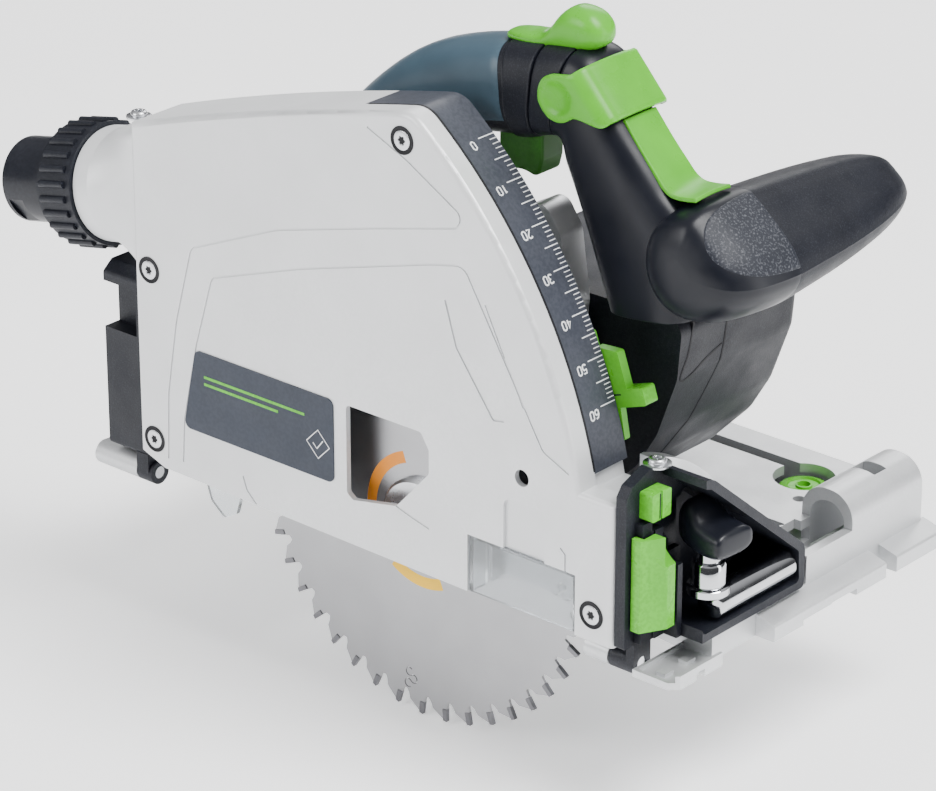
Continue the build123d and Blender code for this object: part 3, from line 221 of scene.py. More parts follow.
COVER = paint("cover_paint", (0.70, 0.71, 0.72))
CAST = paint("cast_paint", (0.60, 0.61, 0.62), 0.40, 0.6)
ALUMINIUM = metal("die_cast_aluminium", (0.72, 0.73, 0.74), 0.42)
BLACK = plastic("black_plastic", (0.0045, 0.0055, 0.010), 0.46, 0.00010, 1700.0)
# very dark rough plastic: own colour of real seams, joints and printed marks; round the cover screws it is
# painted shade of their recesses
DARK = plastic("dark_lines_and_painted_recess_shade", (0.004, 0.004, 0.006), 0.6)
WHITE = plastic("white_print", (0.82, 0.83, 0.84), 0.5, 0.00001, edge=0.0)
YELLOW = plastic("yellow_print", (0.85, 0.50, 0.02), 0.45, 0.00001, edge=0.0)
ORANGE = plastic("orange_print", (0.85, 0.28, 0.02), 0.45, 0.00001, edge=0.0)
BLACK_SMOOTH = plastic("black_smooth_plastic", (0.0045, 0.0055, 0.010), 0.36, 0.00002)
PAD = plastic("soft_grip", (0.012, 0.014, 0.021), 0.52, 0.00016, 1250.0, 0.1)
# pale dots on the grip pad and on the black plastic: painted glints of their real grain
speckle(PAD, (0.11, 0.115, 0.13), 1250.0, 0.75)
speckle(BLACK, (0.030, 0.033, 0.043), 1600.0, 0.45)
# darker copy of the green plastic: painted shade for the trigger, which sits in shadow under the handle
SHADED_GREEN = plastic("green_plastic_painted_shade", (0.022, 0.13, 0.006), 0.4, 0.00002)
HANDLE_GREY = plastic("handle_grey_plastic", (0.045, 0.078, 0.105), 0.36, 0.00003)
GREEN = plastic("green_plastic", (0.085, 0.40, 0.018), 0.3, 0.00002)
CHROME = metal("chrome", (0.58, 0.59, 0.61), 0.10)
STEEL = metal("bright_steel", (0.62, 0.63, 0.65), 0.28)
COPPER = metal("copper_wire", (0.72, 0.36, 0.18), 0.35)
CARBIDE = metal("carbide", (0.16, 0.16, 0.17), 0.35)
LABEL = plastic("label_foil", (0.020, 0.026, 0.040), 0.4, 0.00001)
# dark grey, lighter than the black plastic: the band's own black with a painted sheen laid over all of it
SCALE_SHEEN = plastic("scale_band_painted_sheen", (0.036, 0.040, 0.052), 0.42, 0.00005, 2600.0)
BLADE = brushed_disc("blade_steel", (0.34, 0.34, 0.35))
CLEAR = Shader("clear_plastic", (0.86, 0.90, 0.92), 0.12).uneven_gloss(60, 0.05)
CLEAR.bsdf.inputs["Transmission Weight"].default_value = 0.92
CLEAR.bsdf.inputs["IOR"].default_value = 1.45

PLAIN = {
    COVER: ["outer_cover", "guard_housing"],
    CAST: ["base_plate"],
    ALUMINIUM: ["gear_housing", "gearbox_flange", "bevel_segments"],
    BLACK: ["front_carrier", "rear_carrier", "rear_clamp_knob", "front_clamp_knob", "dust_collar",
            "motor_housing", "motor_end_cap", "front_handle_left", "front_handle_right", "front_grip_inner",
            "front_grip_outer", "power_inlet", "speed_dial", "cooling_fan"],
    SCALE_SHEEN: ["depth_scale"],
    BLACK_SMOOTH: ["dust_spout", "glide_strips", "electronics_module"],
    HANDLE_GREY: ["rear_handle_left", "rear_handle_right"],
    GREEN: ["rail_wheel_front", "rail_wheel_rear", "trigger", "lock_button", "change_lever", "column_inlay",
            "cut_pointer", "splinter_guard", "depth_stop"],
    CHROME: ["front_clamp_rod", "front_clamp_stud"],
    STEEL: ["bevel_pins", "cover_screws", "clamp_bolts", "feeler_pin", "pivot_pin", "idler_pin", "lever_pin",
            "ball_bearings", "motor_stator", "motor_rotor", "inner_flange", "outer_flange", "arbor_screw",
            "spindle", "driven_gear", "idler_gear", "rotor_shaft"],
    BLADE: ["saw_blade"],
    CARBIDE: ["carbide_tips"],
    COPPER: ["motor_windings"],
    CLEAR: ["sight_window", "kickback_feeler"],
    LABEL: ["nameplate"],
}
for shader, names in PLAIN.items():
    for name in names:
        nodes[name].data.materials.clear()
        nodes[name].data.materials.append(shader.material)

# ---------------------------------------------------------------- shape tools
# degrees, and millimetres for how far a print stands proud and reaches in
SHARP_ANGLE = 38
BEVEL_ANGLE = 35
PRINT_LIFT, PRINT_SINK = 0.07, -0.1


def link_mesh(name, mesh, shader, body, smooth=True):
    """Turns a bmesh into a piece that rides on a body."""
    bmesh.ops.recalc_face_normals(mesh, faces=mesh.faces)
    data = bpy.data.meshes.new(name)
    mesh.to_mesh(data)
    mesh.free()
    for face in data.polygons:
        face.use_smooth = smooth
    if smooth:
        data.set_sharp_from_angle(angle=math.radians(SHARP_ANGLE))
    made = bpy.data.objects.new(name, data)
    bpy.context.scene.collection.objects.link(made)
    data.materials.append(shader.material)
    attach(made, body)
    return made


def catmull(values, at):
    """Smooth value between rows of numbers, at a fractional row."""
    at = min(max(at, 0.0), len(values) - 1.0)
    index = min(int(at), len(values) - 2)
    t = at - index
    rows = [values[min(max(index + k, 0), len(values) - 1)] for k in (-1, 0, 1, 2)]
    out = []
    for a, b, c, d in zip(*rows):
        out.append(0.5 * (2 * b + (c - a) * t + (2 * a - 5 * b + 4 * c - d) * t * t
                          + (3 * b - a - 3 * c + d) * t ** 3))
    return out


def super_ring(count, exponent):
    """Unit superellipse as (across, along) pairs."""
    ring = []
    for step in range(count):
        angle = 2 * math.pi * step / count
        c, s = math.cos(angle), math.sin(angle)
        ring.append((math.copysign(abs(c) ** (2 / exponent), c), math.copysign(abs(s) ** (2 / exponent), s)))
    return ring


def skin(rings):
    """Closed quad skin over rings of points, in millimetres."""
    mesh = bmesh.new()
    rows = [[mesh.verts.new(Vector(p) * MM) for p in ring] for ring in rings]
    count = len(rings[0])
    for first, second in zip(rows, rows[1:]):
        for k in range(count):
            mesh.faces.new((first[k], first[(k + 1) % count], second[(k + 1) % count], second[k]))
    mesh.faces.new(rows[0])
    mesh.faces.new(list(reversed(rows[-1])))
    return mesh


def close_bar(mesh, rows):
    """Closes rows of four corners into a bar with both ends shut."""
    for first, second in zip(rows, rows[1:]):
        for k in range(4):
            mesh.faces.new((first[k], first[(k + 1) % 4], second[(k + 1) % 4], second[k]))
    mesh.faces.new(rows[0])
    mesh.faces.new(list(reversed(rows[-1])))


def close_shell(mesh, top, under):
    """Closes an outer and an inner grid of corners into one shell with edges all round."""
    last, wide = len(top) - 1, len(top[0]) - 1
    for i in range(last):
        for k in range(wide):
            mesh.faces.new((top[i][k], top[i][k + 1], top[i + 1][k + 1], top[i + 1][k]))
            mesh.faces.new((under[i][k], under[i + 1][k], under[i + 1][k + 1], under[i][k + 1]))
        mesh.faces.new((top[i][0], top[i + 1][0], under[i + 1][0], under[i][0]))
        mesh.faces.new((top[i + 1][-1], top[i][-1], under[i][-1], under[i + 1][-1]))
    for k in range(wide):
        mesh.faces.new((top[0][k + 1], top[0][k], under[0][k], under[0][k + 1]))
        mesh.faces.new((top[-1][k], top[-1][k + 1], under[-1][k + 1], under[-1][k]))


def bevel(piece, width):
    """Rounds the edges that are sharper than BEVEL_ANGLE degrees."""
    made = piece.modifiers.new("bevel", "BEVEL")
    made.width = width * MM
    made.segments = 3
    made.limit_method = "ANGLE"
    made.angle_limit = math.radians(BEVEL_ANGLE)
    made.harden_normals = False


def rounded_outline(points, radii, steps=8):
    """Corner points with arcs of the given radii, in millimetres."""
    out = []
    count = len(points)
    for index, (point, radius) in enumerate(zip(points, radii)):
        here = Vector(point)
        before = Vector(points[index - 1]) - here
        after = Vector(points[(index + 1) % count]) - here
        if radius <= 0:
            out.append(tuple(here))
            continue
        half = before.angle(after) / 2
        reach = min(radius / math.tan(half), before.length * 0.49, after.length * 0.49)
        radius = reach * math.tan(half)
        centre = here + (before.normalized() + after.normalized()).normalized() * (radius / math.sin(half))
        start = here + before.normalized() * reach - centre
        sweep = start.angle_signed(here + after.normalized() * reach - centre)
        for step in range(steps + 1):
            turn = -sweep * step / steps
            c, s = math.cos(turn), math.sin(turn)
            out.append((centre.x + start.x * c - start.y * s, centre.y + start.x * s + start.y * c))
    return out


def plate(name, outline, start, end, shader, body, edge):
    """Solid with an outline in X-Z, between two Y levels, with rounded edges."""
    mesh = skin([[(x, level, z) for x, z in outline] for level in (start, end)])
    made = link_mesh(name, mesh, shader, body)
    bevel(made, edge)
    return made


def spun(name, profile, centre, direction, shader, body, ribs=0, depth=0.0, width=0.5, count=96):
    """Turned solid about an axis: profile of (distance, radius, rib amount), with optional ribs."""
    w = Vector(direction).normalized()
    u = Vector((0, 1, 0)) if abs(w.y) < 0.9 else Vector((1, 0, 0))
    u = (u - w * u.dot(w)).normalized()
    v = w.cross(u)
    rings = []
    for distance, radius, amount in profile:
        ring = []
        for step in range(count):
            angle = 2 * math.pi * step / count
            wave = 0.0
            if ribs:
                phase = (angle * ribs / (2 * math.pi)) % 1.0
                wave = max(0.0, 1 - (abs(phase - 0.5) * 2 / width) ** 4)
            reach = radius + depth * amount * wave
            ring.append(Vector(centre) + w * distance + (u * math.cos(angle) + v * math.sin(angle)) * reach)
        rings.append(ring)
    return link_mesh(name, skin(rings), shader, body)


# ---------------------------------------------------------------- handle
HANDLE_Y = 42.0
# stations: (outer x, outer z, inner x, inner z, half width, roundness of the section)
HANDLE = [
    (-95, 66, -50, 66, 15.5, 3.2),
    (-95, 92, -52, 96, 15.5, 3.0),
    (-92, 118, -57, 121, 15.5, 2.8),
    (-82, 148, -57, 138, 15.5, 2.6),
    (-64, 173, -46, 154, 15.5, 2.5),
    (-36, 196.5, -26, 164.5, 15.8, 2.5),
    (-8, 208, -3, 171, 16, 2.6),
    (24, 213.6, 20, 175.5, 16, 2.8),
    (51, 215.2, 39, 180, 16, 3.2),
    (66.5, 195.0, 44, 170, 16, 3.4),
    (86, 173.0, 52, 150, 16, 3.4),
    (99, 158, 60, 128, 16, 3.4),
    (101, 124, 64, 120, 16, 3.4),
]
ROUND = 64


def handle_point(at, angle, grow=0.0):
    """Point on the handle's surface at a fractional station and an angle from its outer side."""
    ox, oz, ix, iz, half, exponent = catmull(HANDLE, at)
    c, s = math.cos(angle), math.sin(angle)
    across = math.copysign(abs(c) ** (2 / exponent), c)
    along = math.copysign(abs(s) ** (2 / exponent), s)
    mid = Vector(((ox + ix) / 2, 0, (oz + iz) / 2))
    arm = Vector((ox - ix, 0, oz - iz)) / 2
    reach = arm.length + grow
    point = mid + arm.normalized() * (reach * across)
    return Vector((point.x, HANDLE_Y + (half + grow) * along, point.z))


def handle_run(name, start, end, shader, skew=(0.0, 0.0), grow=0.0, steps=24, soft=0.6):
    """Closed length of the handle between two stations, with softened ends."""
    rings = []
    length = max(1.0, (handle_point(end, 1.57) - handle_point(start, 1.57)).length)
    ends = [(0.0, -soft), (soft * 0.3 / length, -soft * 0.3), (soft / length, 0.0)]
    marks = ends + [(k / steps, 0.0) for k in range(1, steps)] + [(1 - t, g) for t, g in reversed(ends)]
    for t, inward in sorted(marks):
        ring = []
        for k in range(ROUND):
            angle = 2 * math.pi * k / ROUND
            lean = skew[0] * (1 - t) + skew[1] * t
            at = start + (end - start) * t - lean * math.cos(angle)
            ring.append(handle_point(at, angle, grow + inward))
        rings.append(ring)
    return link_mesh(name, skin(rings), shader, "saw_unit")


def handle_patch(name, start, end, reach, shader, grow, depth, skew=0.0, steps=48, around=40, soft=0.5):
    """Closed shell over part of the handle: reach gives the half angle it covers at a fractional length."""
    mesh = bmesh.new()
    layers = []
    for level in (grow, grow - depth):
        grid = []
        for i in range(steps + 1):
            t = i / steps
            row = []
            for k in range(around + 1):
                q = 2 * k / around - 1
                angle = reach(t) * q
                edge = min(1.0, min(t, 1 - t) * steps / 1.5, (1 - abs(q)) * around / 3)
                drop = soft * (1 - edge) ** 2 if level == grow else 0.0
                at = start + (end - start) * t - skew * t * math.cos(angle)
                row.append(mesh.verts.new(handle_point(at, angle, level - drop) * MM))
            grid.append(row)
        layers.append(grid)
    close_shell(mesh, *layers)
    return link_mesh(name, mesh, shader, "saw_unit")


grip_core = handle_run("grip_core", 0.0, 6.9, BLACK, grow=-0.6, steps=70)


def shell_reach(t):
    """Half angle that the coloured shell covers, widest in the middle of the handle."""
    return math.radians(118 + 14 * math.sin(math.pi * t))


rear_shell = handle_patch("rear_shell", 0.05, 6.72, shell_reach, HANDLE_GREY, 0.0, 2.2, skew=0.16, steps=110)
collar_shell = handle_run("collar_shell", 6.80, 7.28, BLACK, skew=(0.16, 0.10), grow=0.5, steps=10)
switch_shell = handle_run("switch_shell", 7.30, 7.78, BLACK, skew=(0.10, 0.05), grow=0.1, steps=10)
column_shell = handle_run("column_shell", 7.80, 12.0, BLACK_SMOOTH, skew=(0.05, 0.0), steps=70)
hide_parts("rear_handle_left", "rear_handle_right")
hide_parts("front_handle_left", "front_handle_right")

# base of the handle, down to the gear housing
FOOT = [(-94, 62), (-94, 112), (-60, 121), (-18, 118), (-18, 91), (-50, 83), (-50, 62)]
foot_outline = rounded_outline(FOOT, (8, 8, 10, 6, 6, 6, 4))
handle_foot = plate("handle_foot", foot_outline, HANDLE_Y - 15, HANDLE_Y + 15, BLACK, "saw_unit", 5)

# ---------------------------------------------------------------- front grip
# section of the grip as shares of its half width and half height
POD_PROFILE = [(-0.03, 0.96), (0.19, 0.85), (0.42, 0.66), (0.625, 0.48), (0.82, 0.29), (0.95, 0.10),
               (1.03, -0.10), (1.035, -0.15), (1.0, -0.30), (0.88, -0.50), (0.6, -0.75), (0.2, -0.93),
               (-0.25, -0.95), (-0.65, -0.75), (-0.9, -0.35), (-0.95, 0.1), (-0.8, 0.55), (-0.45, 0.86)]


def pod_point(station, at, lift=0.0):
    """Point on the section of one station, at a fractional place along the profile."""
    y, x, z, half_x, half_z = station
    count = len(POD_PROFILE)
    closed = [POD_PROFILE[(k + count - 1) % count] for k in range(count + 3)]
    a, b = catmull(closed, at % count + 1)
    return Vector((x + a * (half_x + lift), y, z + b * (half_z + lift)))


def pod_ring(y, x, z, half_x, half_z, per=6):
    """Section of the front grip: a full front face, a crisp lower edge and a round back."""
    return [pod_point((y, x, z, half_x, half_z), k / per) for k in range(len(POD_PROFILE) * per)]


def pod_piece(name, stations, shader, steps=4):
    rings = [pod_ring(*catmull(stations, k / steps)) for k in range((len(stations) - 1) * steps + 1)]
    made = link_mesh(name, skin(rings), shader, "saw_unit")
    return made


SEAM = 57.6
# stations: (y, middle x, middle z, half width, half height)
INNER = [(21.2, 103.5, 147.5, 5, 5), (22.2, 103.5, 147.5, 12, 12), (25.0, 104, 147.5, 18.2, 18),
         (29.5, 104.4, 147.4, 21.6, 21.2), (37, 105.2, 147.3, 23.8, 23.2),
         (47, 106, 147.2, 24.6, 23.9), (SEAM - 0.7, 106.6, 147.2, 24.8, 24.1),
         (SEAM, 106.6, 147.2, 24.2, 23.5)]
OUTER = [(SEAM + 0.15, 106.6, 147.2, 24.2, 23.5), (SEAM + 0.8, 106.6, 147.2, 24.8, 24.1),
         (72, 107, 147.5, 24, 23.2), (90, 107.6, 148, 22.7, 21.6),
         (106, 108.2, 148.6, 20.8, 19.6), (120, 108.8, 149.2, 18.2, 17.3),
         (131, 109.3, 149.6, 14.9, 14.2), (138.5, 109.6, 149.9, 11.2, 10.6), (143, 109.8, 150, 7, 6.6),
         (144.9, 109.8, 150, 2.5, 2.3)]
grip_inner = pod_piece("grip_inner", INNER, BLACK_SMOOTH)
grip_outer = pod_piece("grip_outer", OUTER, BLACK)


def grip_pad(steps=36, around=40, thick=1.2):
    """Soft, coarse pad on the front face of the inner part, pointed by an oval end."""
    mesh = bmesh.new()
    layers = []
    for level in (0.35, 0.35 - thick):
        grid = []
        for i in range(steps + 1):
            t = i / steps
            along = 2.0 + 4.82 * t
            oval = math.sqrt(max(0.0, 1 - (1 - t) ** 2.4))
            row = []
            for k in range(around + 1):
                q = 2 * k / around - 1
                edge = min(1.0, min(t * steps / 2.0, (1 - abs(q)) * around / 3.0, (1 - t) * steps / 1.2))
                drop = 0.5 * (1 - edge) ** 2 if level > 0 else 0.0
                at = 2.95 + q * 2.75 * max(oval, 0.06)
                row.append(mesh.verts.new(pod_point(catmull(INNER, along), at, level - drop) * MM))
            grid.append(row)
        layers.append(grid)
    close_shell(mesh, *layers)
    return link_mesh("grip_pad", mesh, PAD, "saw_unit")


pad = grip_pad()
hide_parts("front_grip_inner")
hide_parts("front_grip_outer")

# ---------------------------------------------------------------- lock button
def button_ring(x, half, low, high):
    middle = (low + high) / 2
    return [(x, HANDLE_Y + s * half, middle + c * (high - low) / 2) for c, s in super_ring(40, 2.5)]


# sections: (x, half width, low, high)
BUTTON = [(8, 2.5, 211, 213.4), (10, 5.0, 211, 214.8), (16, 6.6, 211, 215.9), (22, 7.0, 211, 216.6),
          (27, 7.0, 211, 218.2), (31, 7.2, 211, 222), (34.5, 7.7, 211, 226.5), (39, 8.2, 211.5, 229.8),
          (43.5, 8.3, 212.5, 230.2), (48, 7.9, 214.4, 229.3), (51.5, 6.6, 216.4, 227),
          (53.6, 4.4, 218.0, 224.6), (54.4, 1.6, 219.4, 222.6)]
button_rings = [button_ring(*catmull(BUTTON, k / 4)) for k in range((len(BUTTON) - 1) * 4 + 1)]
lock_button = link_mesh("lock_button_shape", skin(button_rings), GREEN, "lock")
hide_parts("lock_button")

# ---------------------------------------------------------------- change lever
FACE_TOP, FACE_LOW = Vector((52.6, 214.9)), Vector((69.6, 196.2))
DOWN = (FACE_LOW - FACE_TOP).normalized()
FORWARD = Vector((-DOWN.y, DOWN.x))
FACE_LENGTH = (FACE_LOW - FACE_TOP).length
# round end of the band on both sides: forward of the face, down from its top, radius
TAB_FORWARD, TAB_DOWN, TAB_RADIUS = -15.6, 6.0, 9.2
LEVER_TOP, LEVER_HALF, LEVER_CORNER, LEVER_WALL = 2.4, 19.2, 6.5, 2.3


def lever_path(steps=84):
    """Points along the band seen from above the face: (forward, across, outward normal)."""
    straight = -TAB_FORWARD + TAB_RADIUS - LEVER_CORNER
    turn = LEVER_CORNER * math.pi / 2
    face = 2 * (LEVER_HALF - LEVER_CORNER)
    total = 2 * straight + 2 * turn + face
    out = []
    for step in range(steps + 1):
        s = total * step / steps
        side = -1
        if s > total / 2:
            s, side = total - s, 1
        if s < straight:
            out.append((-LEVER_CORNER - straight + s, side * LEVER_HALF, 0.0, side * 1.0))
        elif s < straight + turn:
            a = (s - straight) / LEVER_CORNER
            out.append((-LEVER_CORNER + LEVER_CORNER * math.sin(a),
                        side * (LEVER_HALF - LEVER_CORNER + LEVER_CORNER * math.cos(a)),
                        math.sin(a), side * math.cos(a)))
        else:
            across = LEVER_HALF - LEVER_CORNER - (s - straight - turn)
            crown = 1.4 * (1 - (across / (LEVER_HALF - LEVER_CORNER)) ** 2)
            out.append((crown, side * across, 1.0, 0.0))
    return out


def lever_span(forward):
    """Upper and lower edge of the band at a depth behind the face."""
    behind = -forward
    blend = min(1.0, max(0.0, (behind - 3.0) / (-TAB_FORWARD - 3.0)))
    blend = blend * blend * (3 - 2 * blend)
    top = LEVER_TOP + (TAB_DOWN - TAB_RADIUS - LEVER_TOP) * blend
    low = FACE_LENGTH + (TAB_DOWN + TAB_RADIUS - FACE_LENGTH) * blend
    past = behind + TAB_FORWARD
    if past > 0:
        half = math.sqrt(max(0.0, TAB_RADIUS ** 2 - past ** 2))
        top, low = TAB_DOWN - half, TAB_DOWN + half
    return top, low


def lever_mesh(steps=84, rows=24):
    mesh = bmesh.new()
    layers = []
    for inward in (0.0, LEVER_WALL):
        grid = []
        for forward, across, nf, ny in lever_path(steps):
            top, low = lever_span(forward)
            row = []
            for k in range(rows + 1):
                down = top + (low - top) * k / rows
                sink = inward
                if inward == 0.0:
                    edge = min(down - top, low - down)
                    sink += 0.5 * max(0.0, 1 - edge / 0.9) ** 2
                    if across < 0 and ny < -0.9:
                        gap = math.hypot(forward - TAB_FORWARD, down - TAB_DOWN)
                        sink += 1.3 * max(0.0, 1 - (gap / 6.6) ** 4)
                flat = FACE_TOP + FORWARD * (forward - nf * sink) + DOWN * down
                row.append(mesh.verts.new(Vector((flat.x, HANDLE_Y + across - ny * sink, flat.y)) * MM))
            grid.append(row)
        layers.append(grid)
    close_shell(mesh, *layers)
    bmesh.ops.remove_doubles(mesh, verts=mesh.verts, dist=0.00001)
    return mesh


change_lever = link_mesh("change_lever_shape", lever_mesh(), GREEN, "lever")
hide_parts("change_lever")

# ---------------------------------------------------------------- green inlay down the front of the handle
def inlay_mesh(half=9.2, thick=1.6, steps=30, across=16):
    line = [(68.0, 194.6), (76.5, 184.6), (83.5, 177.2), (87.2, 173.4), (91.0, 171.6), (96.5, 171.8),
            (102, 172.8)]
    mesh = bmesh.new()
    layers = []
    for sink in (0.0, thick):
        grid = []
        for i in range(steps + 1):
            t = i / steps * (len(line) - 1)
            x, z = catmull(line, t)
            x2, z2 = catmull(line, min(t + 0.05, len(line) - 1))
            x1, z1 = catmull(line, max(t - 0.05, 0))
            tangent_dir = Vector((x2 - x1, z2 - z1)).normalized()
            out = Vector((-tangent_dir.y, tangent_dir.x))
            row = []
            for k in range(across + 1):
                q = 2 * k / across - 1
                width = half * (1.0 + 0.12 * i / steps)
                crown = 0.6 * (1 - q * q)
                level = crown - 0.3 - sink
                place = Vector((x + out.x * level, HANDLE_Y + 1.6 + q * width, z + out.y * level))
                row.append(mesh.verts.new(place * MM))
            grid.append(row)
        layers.append(grid)
    close_shell(mesh, *layers)
    return mesh


inlay = link_mesh("column_inlay_shape", inlay_mesh(), GREEN, "saw_unit")
bevel(inlay, 0.4)
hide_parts("column_inlay")

# ---------------------------------------------------------------- trigger
TRIGGER = [(7, 180), (7, 168), (9, 160), (18, 162.5), (26, 160.5), (28, 168), (28, 180)]
TRIGGER_HALF = 6.4
trigger_outline = rounded_outline(TRIGGER, (1, 5, 3, 14, 3, 5, 1))
trigger_levels = (HANDLE_Y - TRIGGER_HALF, HANDLE_Y + TRIGGER_HALF)
# the trigger takes the darker green: painted shade under the handle
trigger = plate("trigger_shape", trigger_outline, *trigger_levels, SHADED_GREEN, "switch_trigger", 2.2)
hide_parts("trigger")

# ---------------------------------------------------------------- depth scale marks
BAND_RADIUS = 216.5
BAND_EDGE = 17.0
PIVOT_MM = PIVOT / MM
# arm from the pivot to the arbor, and its rise and tilt at the rest depth, where the mark sits at REST_MARK
ARM, REST_RISE, REST_TILT = 125, 2, 0.917
REST_DEPTH, REST_MARK = 60, 19.04


def band_point(angle, y, lift):
    """Point on the curved band of the depth scale, at an angle in degrees, lifted off it."""
    turn = math.radians(angle)
    reach = BAND_RADIUS + lift
    return Vector((PIVOT_MM.x + reach * math.cos(turn), y, PIVOT_MM.z + reach * math.sin(turn)))


def band_angle(depth):
    """Angle of the mark for a depth of cut, from how far the arm to the arbor has swung up."""
    swung = math.degrees(math.asin((REST_RISE + REST_DEPTH - depth) / ARM)) - REST_TILT
    return REST_MARK + swung


def band_box(mesh, angle, width, y_low, y_high):
    """Thin printed bar across the band."""
    half = math.degrees(width / 2 / BAND_RADIUS)
    corners = ((-half, y_low), (-half, y_high), (half, y_high), (half, y_low))
    low_ring = [mesh.verts.new(band_point(angle + a, y, PRINT_SINK) * MM) for a, y in corners]
    high_ring = [mesh.verts.new(band_point(angle + a, y, PRINT_LIFT) * MM) for a, y in corners]
    mesh.faces.new(low_ring)
    mesh.faces.new(list(reversed(high_ring)))
    for k in range(4):
        mesh.faces.new((low_ring[k], high_ring[k], high_ring[(k + 1) % 4], low_ring[(k + 1) % 4]))


marks = bmesh.new()
for depth in range(0, 61):
    length = 8.2 if depth % 10 == 0 else (7.2 if depth % 5 == 0 else 3.4)
    thick = 0.42 if depth % 5 == 0 else 0.34
    band_box(marks, band_angle(depth), thick, BAND_EDGE - 0.3 - length, BAND_EDGE - 0.3)
link_mesh("scale_marks", marks, WHITE, "guard", smooth=False)

# one pen stroke for each digit of the scale
STROKES = {
    "0": [(0.5, 1.5), (0, 1.1), (0, -1.1), (0.5, -1.5), (1.3, -1.5), (1.8, -1.1), (1.8, 1.1), (1.3, 1.5),
          (0.5, 1.5)],
    "1": [(0.3, 1.0), (1.0, 1.5), (1.0, -1.5)],
    "2": [(0, 1.0), (0.4, 1.5), (1.4, 1.5), (1.8, 1.0), (1.7, 0.4), (0, -1.5), (1.8, -1.5)],
    "3": [(0, 1.2), (0.5, 1.5), (1.4, 1.5), (1.8, 1.1), (1.7, 0.4), (1.1, 0.1), (1.7, -0.3), (1.8, -1.0),
          (1.4, -1.5), (0.5, -1.5), (0, -1.2)],
    "4": [(1.3, -1.5), (1.3, 1.5), (0, -0.7), (1.8, -0.7)],
    "5": [(1.7, 1.5), (0.2, 1.5), (0.1, 0.2), (1.3, 0.4), (1.8, -0.1), (1.8, -1.0), (1.3, -1.5), (0.4, -1.5),
          (0, -1.1)],
    "6": [(1.6, 1.5), (0.6, 1.2), (0, 0.2), (0, -1.0), (0.5, -1.5), (1.3, -1.5), (1.8, -1.0), (1.8, -0.3),
          (1.3, 0.2), (0.5, 0.2), (0, -0.3)],
}


def ribbon(mesh, line, width, place):
    """Closed flat ribbon along a line; place turns (x, y, lift) into a point."""
    rows = []
    for index, point in enumerate(line):
        before = Vector(line[max(index - 1, 0)])
        after = Vector(line[min(index + 1, len(line) - 1)])
        side = (after - before).normalized()
        side = Vector((-side.y, side.x)) * width / 2
        left, right = Vector(point) + side, Vector(point) - side
        corners = ((left, PRINT_LIFT), (right, PRINT_LIFT), (right, PRINT_SINK), (left, PRINT_SINK))
        rows.append([mesh.verts.new(place(*spot, lift)) for spot, lift in corners])
    close_bar(mesh, rows)


digits = bmesh.new()
for depth in range(0, 61, 10):
    word = str(depth)
    middle = band_angle(depth) - math.degrees(2.0 / BAND_RADIUS)
    for index, letter in enumerate(word):
        left = (index - len(word) / 2) * 2.7 + 0.45
        ribbon(digits, [(left + x, y * 1.08) for x, y in STROKES[letter]], 0.62,
               lambda x, y, lift: band_point(middle - math.degrees(y / BAND_RADIUS), 4.4 - x, lift) * MM)
link_mesh("scale_digits", digits, WHITE, "guard", smooth=False)

# ---------------------------------------------------------------- dark joint between the cover and the band
ROOF_CENTRE, ROOF_REACH, ROUND_OFF = Vector((249.3, -1000.7)), 1220.1, 12.0
JOINT_Y = (-2.45, -1.35)
JOINT_LIFT, JOINT_SINK = 0.08, -0.35
pivot_flat = Vector((PIVOT_MM.x, PIVOT_MM.z))
# the rounded corner touches both arcs from inside, so its centre lies ROUND_OFF short of each of them
band_short, roof_short = BAND_RADIUS - ROUND_OFF, ROOF_REACH - ROUND_OFF
between = ROOF_CENTRE - pivot_flat
along = (band_short ** 2 - roof_short ** 2 + between.length_squared) / (2 * between.length)
aside = math.sqrt(band_short ** 2 - along ** 2)
step = between.normalized()
corner = pivot_flat + step * along + Vector((-step.y, step.x)) * aside
front_turn = math.atan2(*(corner - pivot_flat).yx)
roof_turn = math.atan2(*(corner - ROOF_CENTRE).yx)
roof_end = math.acos((-24.0 - ROOF_CENTRE.x) / ROOF_REACH)
rim = []
for centre, reach, start, stop, count in ((pivot_flat, BAND_RADIUS, math.radians(13.3), front_turn, 40),
                                          (corner, ROUND_OFF, front_turn, roof_turn, 8),
                                          (ROOF_CENTRE, ROOF_REACH, roof_turn, roof_end, 6)):
    for k in range(count):
        turn = start + (stop - start) * k / (count - 1)
        outward = Vector((math.cos(turn), math.sin(turn)))
        if not rim or (rim[-1][0] - centre - outward * reach).length > 0.05:
            rim.append((centre + outward * reach, outward))
joint = bmesh.new()
rows = []
for point, outward in rim:
    ring = []
    for y, lift in ((JOINT_Y[0], JOINT_SINK), (JOINT_Y[1], JOINT_SINK), (JOINT_Y[1], JOINT_LIFT),
                    (JOINT_Y[0], JOINT_LIFT)):
        place = point + outward * lift
        ring.append(joint.verts.new(Vector((place.x, y, place.y)) * MM))
    rows.append(ring)
close_bar(joint, rows)
link_mesh("cover_joint", joint, DARK, "guard", smooth=False)

